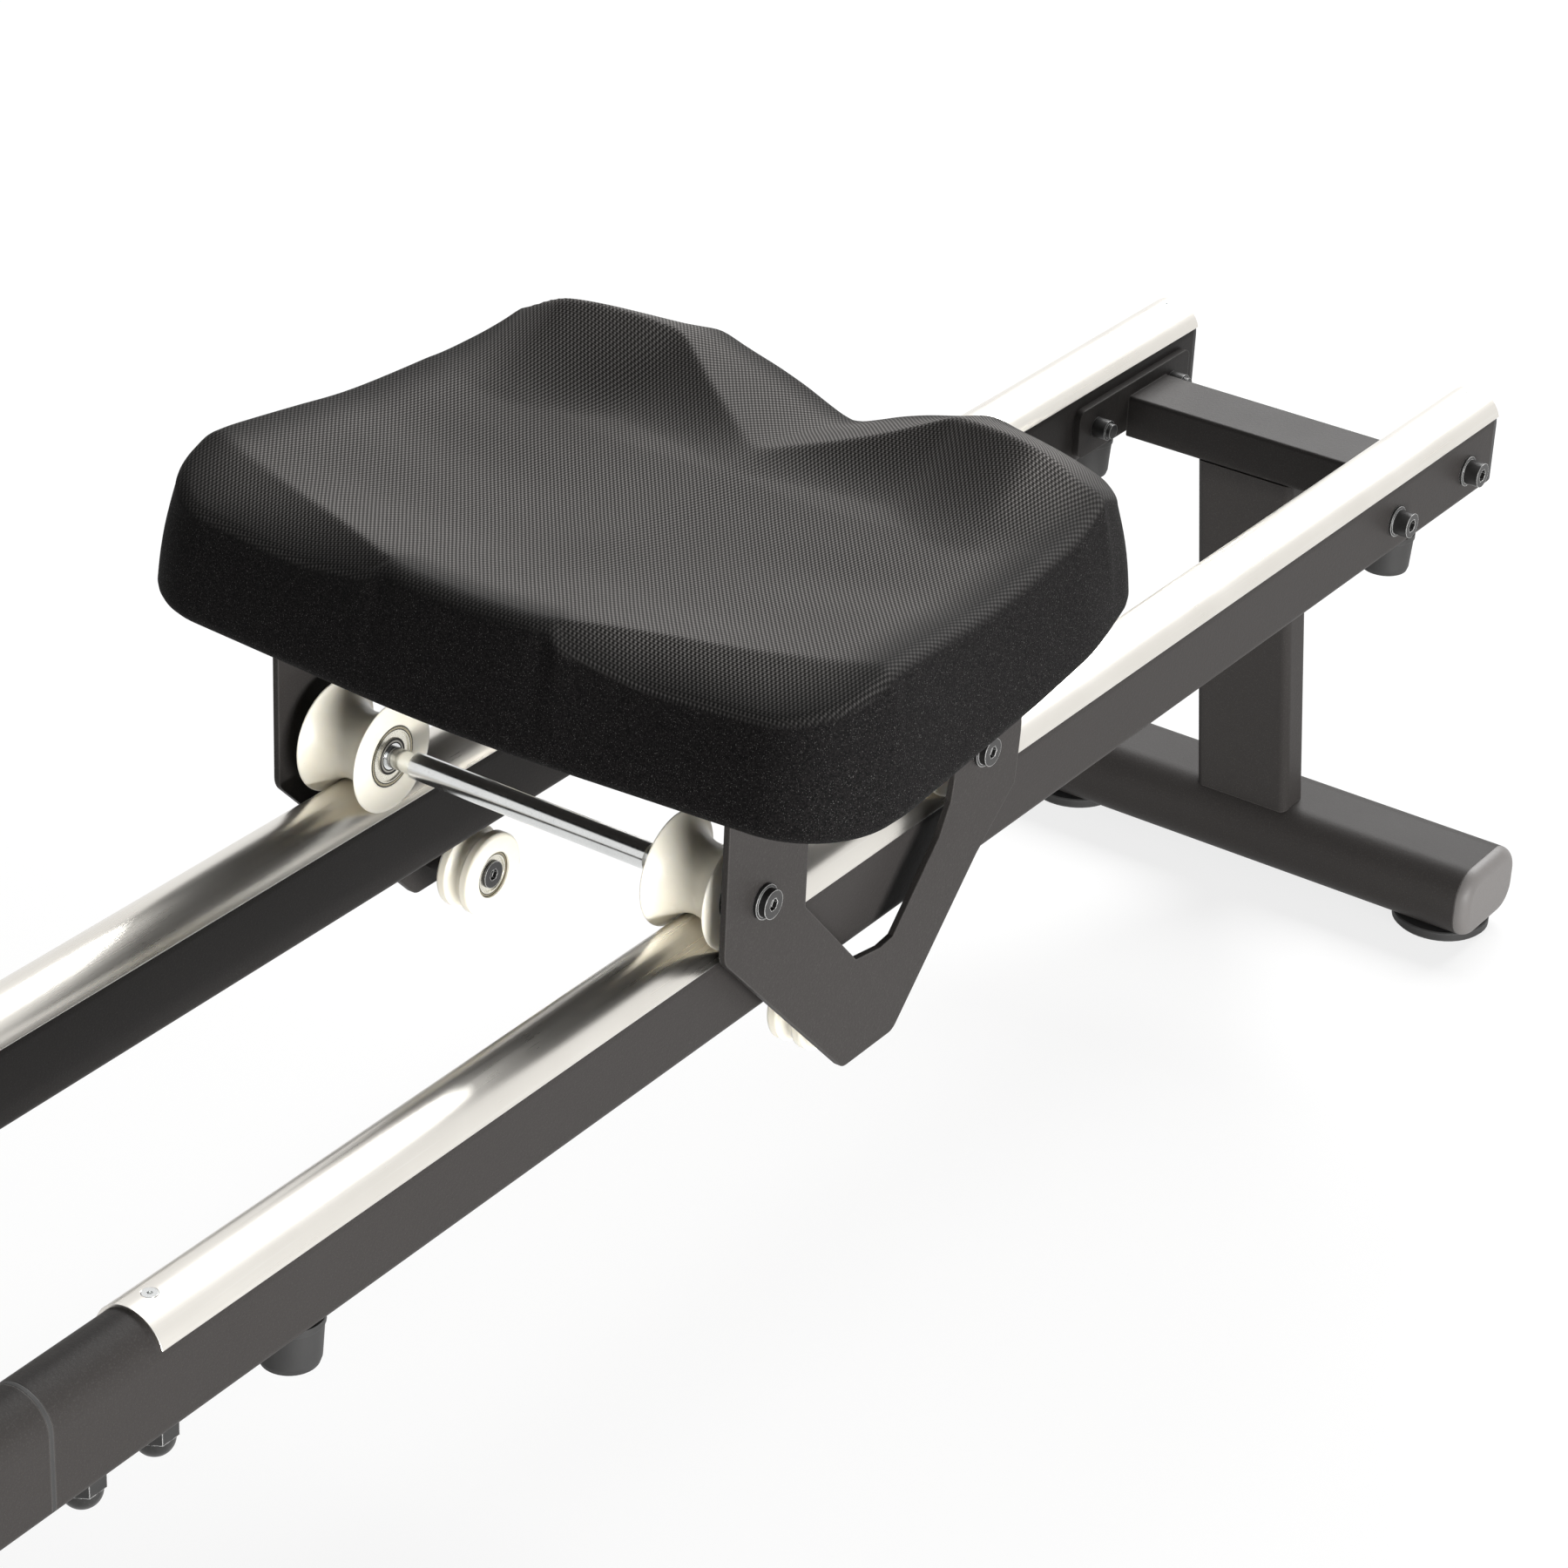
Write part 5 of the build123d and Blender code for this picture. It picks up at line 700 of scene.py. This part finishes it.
def curve_value(knots, values, t):
    """Smooth curve through values at uneven knots."""
    t = max(knots[0], min(knots[-1], t))
    i = max(0, min(len(knots) - 2, sum(1 for k in knots[1:-1] if k <= t)))
    width = knots[i + 1] - knots[i]
    s = (t - knots[i]) / width

    def slope(j):
        a, b = max(0, j - 1), min(len(knots) - 1, j + 1)
        return (values[b] - values[a]) / (knots[b] - knots[a])

    m, n = slope(i) * width, slope(i + 1) * width
    a, b = values[i], values[i + 1]
    return a + s * (m + s * (3 * (b - a) - 2 * m - n + s * (2 * (a - b) + m + n)))


def soft_least(values, blend):
    """Lowest of some values, rounded over where two are close."""
    low = min(values)
    return low - blend * math.log(sum(math.exp((low - v) / blend) for v in values))


def bowl_height(x, y):
    """Height of the bowl alone, through the table's nearest rows."""
    near = max(0, min(len(SEAT_X) - 2, sum(1 for k in SEAT_X[1:-1] if k <= x)))
    rows = range(max(0, near - 1), min(len(SEAT_X), near + 3))
    return curve_value([SEAT_X[r] for r in rows], [curve_value(SEAT_Y, SEAT_HEIGHTS[r], y) for r in rows], x)


def ridge_surfaces(x, y):
    """Heights of the climb from the bowl to the ridge and of the fall behind it."""
    ridge_x, ridge_z = curve_value(RIDGE_Y, RIDGE_X, y), curve_value(RIDGE_Y, RIDGE_Z, y)
    behind = x - ridge_x
    climb = max(0.0, 1.0 + behind / curve_value(RIDGE_Y, FRONT_RUN, y)) ** CLIMB_POWER
    drop = FALL_START * behind + FALL_BEND * behind * max(0.0, behind)
    return [
        bowl_height(x, y) + (ridge_z - bowl_height(ridge_x, y)) * climb,
        ridge_z - curve_value(RIDGE_Y, REAR_FALL, y) * drop,
    ]


def facet_surface(x, y):
    """Height of the facet that is cut from the front corner."""
    dx, dy = x - FACET_FROM[0], y - FACET_FROM[1]
    along = dx * FACET_WAY[0] + dy * FACET_WAY[1]
    out = dy * FACET_WAY[0] - dx * FACET_WAY[1]
    past = out - curve_value(FACET_ALONG, FACET_OUT, along)
    return curve_value(FACET_ALONG, FACET_Z, along) - curve_value(FACET_ALONG, FACET_FALL, along) * past


def seat_height(x, y):
    """Height of the seat's top in millimetres over a point of its plan."""
    y = abs(y)
    surfaces = ridge_surfaces(x, y) if x > RIDGE_REACH else [bowl_height(x, y)]
    if x < FACET_REACH:
        surfaces.append(facet_surface(x, y))
    return soft_least(surfaces, SEAT_CREASE)


def rounded_outline(corners, spacing):
    """Closed plan line through corners, each (x, y, radius), with arcs at the corners."""
    line = []
    count = len(corners)
    for i in range(count):
        x, y, radius = corners[i]
        here = Vector((x, y))
        before = Vector(corners[i - 1][:2]) - here
        after = Vector(corners[(i + 1) % count][:2]) - here
        before.normalize()
        after.normalize()
        half = before.angle(after) / 2
        cut = radius / math.tan(half)
        middle = here + (before + after).normalized() * (radius / math.sin(half))
        start, end = here + before * cut, here + after * cut
        a = math.atan2(*(start - middle).yx)
        b = math.atan2(*(end - middle).yx)
        turn = (b - a + math.pi) % (2 * math.pi) - math.pi
        steps = max(2, int(abs(turn) * radius / spacing))
        for k in range(steps + 1):
            t = a + turn * k / steps
            line.append(middle + radius * Vector((math.cos(t), math.sin(t))))
    return line


def evenly(line, count):
    """The same closed line as evenly spaced points."""
    closed = line + [line[0]]
    runs = [(b - a).length for a, b in zip(closed, closed[1:])]
    total = sum(runs)
    made, i, gone = [], 0, 0.0
    for k in range(count):
        want = total * k / count
        while gone + runs[i] < want:
            gone += runs[i]
            i += 1
        made.append(closed[i].lerp(closed[i + 1], (want - gone) / max(runs[i], 1e-9)))
    return made


def outward_normals(outline):
    """Direction away from the seat's middle at each point of its outline."""
    count = len(outline)
    outward = []
    for i in range(count):
        run = outline[(i + 2) % count] - outline[i - 2]
        normal = Vector((run.y, -run.x)).normalized()
        outward.append(normal if normal.dot(outline[i] - SEAT_MIDDLE) > 0 else -normal)
    return outward


# Slope of the top at its edge: measured over a step, kept in a range and evened over some points
SLOPE_STEP = 2.0
SLOPE_LEAST = -0.7
SLOPE_MOST = 1.0
SLOPE_SPREAD = 3


def top_edge(outline, outward):
    """Where the top meets the rounded rim, and the angle at which the top falls there."""
    count = len(outline)
    inner, falls = [], []
    for edge, n in zip(outline, outward):
        q = edge - n * (SEAT_LEAN + SEAT_RIM)
        fall = math.atan((seat_height(*(q - n * SLOPE_STEP)) - seat_height(*q)) / SLOPE_STEP)
        fall = max(SLOPE_LEAST, min(SLOPE_MOST, fall))
        inner.append(edge - n * (SEAT_LEAN + SEAT_RIM * (1 - math.sin(fall))))
        falls.append(fall)
    near = range(-SLOPE_SPREAD, SLOPE_SPREAD + 1)
    return inner, [sum(falls[(i + k) % count] for k in near) / len(near) for i in range(count)]


# Rings of points over each stretch of the seat, and where the rim's round ends
OUTLINE_SPACING = 1.5
TOP_CROWDING = 0.85
RIM_RINGS = 7
RIM_END = math.radians(86.0)
WALL_RINGS = 9
FOOT_RINGS = 5
# Rings of the underside: share of the way in and height
UNDER_RINGS = ((0.0, SEAT_BASE), (0.02, SEAT_POCKET), (0.4, SEAT_POCKET), (0.75, SEAT_POCKET))
# Share of mesh in the cover: whole up to a share of the way out, less at the rim, lost over the rim; where it
# falls below whole the weave is painted darker as shade
MESH_WHOLE = 0.86
MESH_AT_RIM = 0.55
MESH_LOST = 0.7


def top_rings(inner, rings):
    """Places, heights and mesh shares over the top, ring by ring from near the middle to its edge."""
    for ring in range(1, rings + 1):
        t = (ring / rings) ** TOP_CROWDING
        share = 1.0 - (1.0 - MESH_AT_RIM) * max(0.0, (t - MESH_WHOLE) / (1.0 - MESH_WHOLE))
        for q in inner:
            p = SEAT_MIDDLE.lerp(q, t)
            yield p, seat_height(*p), share


def rim_rings(inner, outward, falls):
    """The same over the rounded rim, where the top turns down into the wall."""
    for ring in range(1, RIM_RINGS + 1):
        share = max(0.0, MESH_AT_RIM - MESH_LOST * ring / RIM_RINGS)
        for q, n, fall in zip(inner, outward, falls):
            a = fall + (RIM_END - fall) * ring / RIM_RINGS
            p = q + n * SEAT_RIM * (math.sin(a) - math.sin(fall))
            yield p, seat_height(*q) + SEAT_RIM * (math.cos(a) - math.cos(fall)), share


def wall_rings(wall_top, outline, outward):
    """The same down the leaning wall and round its foot, where no mesh shows."""
    low = SEAT_BASE + SEAT_FOOT
    for ring in range(1, WALL_RINGS + 1):
        t = ring / WALL_RINGS
        for (p, z, _), edge, n in zip(wall_top, outline, outward):
            yield p.lerp(edge, t) + n * WALL_SWELL * math.sin(math.pi * t), z + (low - z) * t, 0.0
    for ring in range(1, FOOT_RINGS + 1):
        a = math.pi / 2 * ring / FOOT_RINGS
        for edge, n in zip(outline, outward):
            yield edge - n * SEAT_FOOT * (1 - math.cos(a)), low - SEAT_FOOT * math.sin(a), 0.0


def under_rings(outline, outward):
    """The same over the lip and the pocket of the underside."""
    for inward, z in UNDER_RINGS:
        for edge, n in zip(outline, outward):
            yield (edge - n * SEAT_LIP).lerp(SEAT_MIDDLE, inward), z, 0.0


def build_seat():
    """Moulded seat: rings over the top, the rounded rim, the leaning wall and the underside."""
    count, rings = ((420, 96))
    mirrored = [(x, -y, radius) for x, y, radius in reversed(SEAT_SIDE)]
    outline = evenly(rounded_outline([SEAT_FRONT, *SEAT_SIDE, SEAT_REAR, *mirrored], OUTLINE_SPACING), count)
    outward = outward_normals(outline)
    inner, falls = top_edge(outline, outward)
    rim = list(rim_rings(inner, outward, falls))
    places = [*top_rings(inner, rings), *rim, *wall_rings(rim[-count:], outline, outward)]
    places += under_rings(outline, outward)
    levels = len(places) // count
    faces = ring_faces(levels, count)
    top, bottom, last = len(places), len(places) + 1, (levels - 1) * count
    places += [(SEAT_MIDDLE, seat_height(*SEAT_MIDDLE), 1.0), (SEAT_MIDDLE, SEAT_POCKET, 0.0)]
    for i in range(count):
        j = (i + 1) % count
        faces += [(top, j, i), (bottom, last + i, last + j)]
    seat = piece(
        "moulded_seat", [at(*place, z) for place, z, _ in places], faces, "seat_carriage",
        FINISHES["seat_cover"], {"mesh_share": [share for _, _, share in places]},
    )
    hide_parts("seat_cushion")


SIDES = (("left", 1), ("right", -1))
# The handle's centre line, and the grips along it: each grip's ends are points of place and radius
HANDLE_AT = (-1268.0, 225.0)
GRIP_START = 84.0
GRIP_LENGTH = 133.0
GRIP_RADIUS = 13.4
GRIP_INNER_END = ((0.0, 9.3), (0.0, 12.0), (1.5, GRIP_RADIUS))
GRIP_OUTER_END = ((-3.0, GRIP_RADIUS), (-0.8, 12.4), (0.0, 9.5))
GRIP_SWELL = 0.5
GRIP_RINGS = 14
GRIP_RING_DEPTH = 0.45
GRIP_STEPS = 120
GRIP_SEGMENTS = 40


def lathe(name, profile, centre, segments, body, material):
    """A turned piece round an axis across the machine, from (across, radius) points."""
    points = []
    for across, radius in profile:
        for k in range(segments):
            a = 2 * math.pi * k / segments
            points.append(at(centre[0] + radius * math.cos(a), across, centre[1] + radius * math.sin(a)))
    return piece(name, points, closed_faces(len(profile), segments), body, material)


def grip_profile():
    """A grip from its inner to its outer end: a slight swell with shallow finger rings."""
    end = GRIP_START + GRIP_LENGTH
    profile = [(GRIP_START + across, radius) for across, radius in GRIP_INNER_END]
    first, last = GRIP_START + GRIP_INNER_END[-1][0], end + GRIP_OUTER_END[0][0]
    for k in range(1, GRIP_STEPS):
        t = k / GRIP_STEPS
        ring = GRIP_RING_DEPTH * max(0.0, math.sin(2 * math.pi * GRIP_RINGS * t)) ** 3
        radius = GRIP_RADIUS + GRIP_SWELL * math.sin(math.pi * t) - ring
        profile.append((first + (last - first) * t, radius))
    return profile + [(end + across, radius) for across, radius in GRIP_OUTER_END]


def build_grips():
    """Foam grips on both ends of the handle bar."""
    for side, sign in SIDES:
        profile = [(sign * across, radius) for across, radius in grip_profile()]
        lathe(f"foam_grip_{side}", profile, HANDLE_AT, GRIP_SEGMENTS, "handle",
                  FINISHES["grip_foam"])
    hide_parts("handle_grips")


# Round of the webbing's edges as a share of its thickness
WEBBING_ROUND = 0.3


def ribbon(name, path, across_axis, width, thickness, body, cells=10):
    """Flat webbing along a path of points, with firm rounded edges and a weave's coordinates."""
    half = width / 2
    face = [(-half + width * k / cells, thickness / 2) for k in range(1, cells)]
    near, far = -half + WEBBING_ROUND * thickness, half - WEBBING_ROUND * thickness
    section = [(-half, 0.0), (near, thickness / 2), *face, (far, thickness / 2)]
    section += [(half, 0.0), (far, -thickness / 2), *((-s, -t) for s, t in face), (near, -thickness / 2)]
    points, along, over = [], [], []
    gone = 0.0
    for i, p in enumerate(path):
        before, after = path[max(0, i - 1)], path[min(len(path) - 1, i + 1)]
        if i:
            gone += (p - path[i - 1]).length
        run = (after - before).normalized()
        up = run.cross(across_axis).normalized()
        for s, t in section:
            points.append(p + across_axis * s * MM + up * t * MM)
            along.append(gone)
            over.append((s + half) / width)
    faces = closed_faces(len(path), len(section))
    marks = {"along": along, "over": over}
    return piece(name, points, faces, body, FINISHES["belt_web"], marks)


# A foot board's lower end, its slope and how far its middle is from the centre plane
BOARD_FOOT = (-1306.0, 27.0)
BOARD_SLOPE = math.radians(50.0)
BOARD_MIDDLE = 97.0


def on_board(along, up, y):
    """Point on a foot board: along it from its foot, up from its face, and across the machine."""
    c, s = math.cos(BOARD_SLOPE), math.sin(BOARD_SLOPE)
    return at(BOARD_FOOT[0] - along * c + up * s, y, BOARD_FOOT[1] + along * s + up * c)


# A strap: its place along the board, half its width over the foot, its rise and its ends in the slots
STRAP_ALONG = 214.0
STRAP_REACH = 55.0
STRAP_RISE = 60.8
STRAP_ENDS = (-13.5, -9.0, -4.5, 0.0)
STRAP_WIDTH = 38.0
STRAP_THICKNESS = 2.2
STRAP_STEPS = 60
# The lapped tail on the strap: its share of the strap's steps, scale, lift and section
LAP_STEPS = slice(8, 44)
LAP_SCALE = 1.037
LAP_LIFT = 0.2
LAP_WIDTH = 35.0
LAP_THICKNESS = 1.4


def over_foot(sign, y, up):
    """Point at the strap's place on the left or right board: across from its middle and up from its face."""
    return on_board(STRAP_ALONG, up, sign * BOARD_MIDDLE + y)


def strap_arc():
    """Points of a strap's arc over the foot: across and up."""
    radius = (STRAP_REACH ** 2 + STRAP_RISE ** 2) / (2 * STRAP_RISE)
    middle = STRAP_RISE - radius
    first = math.atan2(middle, STRAP_REACH)
    arc = []
    for k in range(1, STRAP_STEPS):
        a = first + (math.pi - 2 * first) * k / STRAP_STEPS
        arc.append((radius * math.cos(a), middle + radius * math.sin(a)))
    return arc


def build_straps():
    """Foot straps: up through the board's slots, over the foot, with a lapped tail on top."""
    run = on_board(1.0, 0.0, 0.0) - on_board(0.0, 0.0, 0.0)
    run.normalize()
    arc = strap_arc()
    for side, sign in SIDES:
        path = [over_foot(sign, STRAP_REACH, up) for up in STRAP_ENDS]
        path += [over_foot(sign, y, up) for y, up in arc]
        path += [over_foot(sign, -STRAP_REACH, up) for up in reversed(STRAP_ENDS)]
        strap = ribbon(f"foot_strap_{side}", path, run, STRAP_WIDTH, STRAP_THICKNESS, "frame")
        lap = [over_foot(sign, y * LAP_SCALE, up * LAP_SCALE + LAP_LIFT) for y, up in arc[LAP_STEPS]]
        ribbon(f"strap_lap_{side}", lap, run, LAP_WIDTH, LAP_THICKNESS, "frame")
        if side == "left":
            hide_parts("foot_straps")


# The belt: its coils on the drum, with the first one's mean radius, their pitch and where the last leaves
DRUM_X = -1720.0
COILS = 5
COIL_STEPS = 48
COIL_START = 40.9
COIL_PITCH = 1.62
COIL_END = math.radians(96.2)
# Its run past the guide pulley to its end in the handle's hub
PULLEY_AT = (-1580.0, 12.6)
PULLEY_REACH = 11.85
PULLEY_STEPS = 12
HUB_REACH = 9.4
HUB_SIDE = 0.8
HANDLE_STEPS = 40
BELT_WIDTH = 19.6
BELT_THICKNESS = 1.45
BELT_CELLS = 8


def coil_points(height):
    """Points of the belt's turns on the drum, from the innermost out."""
    points = []
    steps = COIL_STEPS * COILS
    for k in range(steps + 1):
        a = COIL_END - 2 * math.pi * COILS * (1 - k / steps)
        r = COIL_START + COIL_PITCH * (COILS * k / steps - 0.5)
        points.append(at(DRUM_X + r * math.cos(a), r * math.sin(a), height))
    return points


def build_belt():
    """Pull belt: turns on the drum, the run past the guide pulley and the run to the handle."""
    height = HANDLE_AT[1]
    path = coil_points(height)
    from_point = path[-1]
    to_point = at(PULLEY_AT[0], PULLEY_AT[1] - PULLEY_REACH, height)
    for k in range(1, PULLEY_STEPS + 1):
        t = k / PULLEY_STEPS
        point = from_point.lerp(to_point, t)
        point.y = from_point.y + (to_point.y - from_point.y) * (t + t * t * (3 - 2 * t)) / 2
        path.append(point)
    last = path[-1]
    end = at(HANDLE_AT[0] - HUB_REACH, HUB_SIDE, height)
    path += [last.lerp(end, k / HANDLE_STEPS) for k in range(1, HANDLE_STEPS + 1)]
    up = Vector((0.0, 0.0, 1.0))
    belt = ribbon("woven_pull_belt", path, up, BELT_WIDTH, BELT_THICKNESS, None, BELT_CELLS)
    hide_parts("pull_belt")
    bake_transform(belt)


# Treads: rows up the board above the heel cup's reach, each a low ridge
TREAD_ROWS = 11
TREAD_FIRST = 140.0
TREAD_PITCH = 12.0
TREAD_SIDE = 46.0
TREAD_END = 2.0
TREAD_SECTION = ((-2.4, 0.0), (-1.32, 1.6), (1.32, 1.6), (2.4, 0.0))
# Sections over a tread: place across, and shares of the section's length and rise
TREAD_STATIONS = (
    (-TREAD_SIDE, 0.7, 0.25), (TREAD_END - TREAD_SIDE, 1.0, 1.0),
    (TREAD_SIDE - TREAD_END, 1.0, 1.0), (TREAD_SIDE, 0.7, 0.25),
)


def add_tread(points, faces, along, middle):
    """Adds one ridge across a board, at a place along it, to the points and faces of a piece."""
    base, size = len(points), len(TREAD_SECTION)
    for y, length, rise in TREAD_STATIONS:
        points += [on_board(along + s * length, t * rise, middle + y) for s, t in TREAD_SECTION]
    for ring in range(len(TREAD_STATIONS) - 1):
        for k in range(size - 1):
            a = base + ring * size + k
            faces.append((a, a + 1, a + size + 1, a + size))
    faces += [tuple(range(base, base + size)), tuple(range(len(points) - size, len(points)))]


def build_treads():
    """Raised treads on the foot boards' faces."""
    for side, sign in SIDES:
        points, faces = [], []
        for row in range(TREAD_ROWS):
            add_tread(points, faces, TREAD_FIRST + row * TREAD_PITCH, sign * BOARD_MIDDLE)
        piece(
            f"board_treads_{side}", points, faces, "frame", FINISHES["black_plastic"],
            smooth=False,
        )


# The console's pin and lean, and the pane on it: middle above the pin, width and height, distance out
CONSOLE_PIN = (-1968.0, 345.0)
CONSOLE_LEAN = math.radians(20.0)
SCREEN_MIDDLE = 73.7
SCREEN_SIZE = (107.4, 51.4)
SCREEN_OUT = 11.55
# The pane's rings: distance out and how far each is drawn in
SCREEN_RINGS = ((0.0, 0.0), (0.7, 0.0), (1.1, 0.5))


def build_screen():
    """Display pane in the console's recess, with a bevelled edge."""
    c, s = math.cos(CONSOLE_LEAN), math.sin(CONSOLE_LEAN)
    points = []
    for out, inset in SCREEN_RINGS:
        half_y, half_up = SCREEN_SIZE[0] / 2 - inset, SCREEN_SIZE[1] / 2 - inset
        for y, up in ((-half_y, -half_up), (half_y, -half_up), (half_y, half_up), (-half_y, half_up)):
            a, b = SCREEN_OUT + out, SCREEN_MIDDLE + up
            points.append(at(CONSOLE_PIN[0] + a * c - b * s, y, CONSOLE_PIN[1] + a * s + b * c))
    faces = closed_faces(len(SCREEN_RINGS), 4)
    piece("display_pane", points, faces, "console_head", screen_glass(), smooth=False)


build_seat()
build_grips()
build_screen()
build_straps()
build_belt()
build_treads()


WHITE = (1.0, 1.0, 1.0, 1.0)
# The floor: half its width, how far it lies under the feet, how much of the camera's view of it is
# plain white near the object, and the distances between which the rest turns white too
FLOOR_REACH = 9.0
FLOOR_DROP = 0.0003
FLOOR_WHITE = 0.8
FLOOR_FADE = (1.5, 4.0)


def stage_floor():
    """Pale floor: white to the camera and in reflections, with the object's shadow left on it."""
    f = Finish("floor_finish", Roughness=0.9, Specular_IOR_Level=0.1)
    grain = f.noise(3.0, 2.0)
    f.feed(Base_Color=f.mix(grain, (0.88, 0.88, 0.875), (0.90, 0.90, 0.895)))
    x, y, _ = f.parts()
    far = ((x * x + y * y) ** 0.5).between(*FLOOR_FADE)
    glow = f.node("ShaderNodeEmission", None, {"Color": WHITE, "Strength": 1.0})
    white = f.seen() * (FLOOR_WHITE + (1 - FLOOR_WHITE) * far)
    mixed = f.node("ShaderNodeMixShader", None, {"Fac": white, 2: glow})
    f.tree.links.new(f.shader.outputs[0], mixed.socket.node.inputs[1])
    f.tree.links.new(mixed.socket, f.tree.nodes["Material Output"].inputs[0])
    mesh = bpy.data.meshes.new("floor")
    corners = ((-1, -1), (1, -1), (1, 1), (-1, 1))
    mesh.from_pydata([(a * FLOOR_REACH, b * FLOOR_REACH, 0.0) for a, b in corners], [], [(0, 1, 2, 3)])
    mesh.materials.append(f.material)
    floor = bpy.data.objects.new("floor", mesh)
    floor.location.z = -FLOOR_DROP
    bpy.context.scene.collection.objects.link(floor)


# The room's light on the object, where white is 1
ROOM_LEVEL = 0.18


def stage_world():
    """White room: a plain soft level on the object and full white where it is seen or mirrored."""
    world = bpy.data.worlds.new("room")
    world.use_nodes = True
    room = Nodes(world.node_tree)
    strength = ROOM_LEVEL + (1 - ROOM_LEVEL) * room.seen()
    background = room.tree.nodes["Background"]
    background.inputs["Color"].default_value = WHITE
    room.tree.links.new(strength.socket, background.inputs["Strength"])
    bpy.context.scene.world = world


def softbox(name, place, aim, size, power):
    """Rectangular soft lamp."""
    data = bpy.data.lights.new(name, "AREA")
    data.shape = "RECTANGLE"
    data.size, data.size_y = size
    data.energy = power
    lamp = bpy.data.objects.new(name, data)
    lamp.location = place
    lamp.rotation_euler = (Vector(aim) - Vector(place)).to_track_quat("-Z", "Y").to_euler()
    bpy.context.scene.collection.objects.link(lamp)


stage_floor()
stage_world()
softbox("overhead", place=(2.9, 0.3, 2.1), aim=(0.35, 0.0, 0.3), size=(2.2, 1.6), power=146.0)
softbox("near_fill", place=(-0.5, -2.6, 0.27), aim=(0.3, 0.0, 0.33), size=(2.0, 0.45), power=120.0)
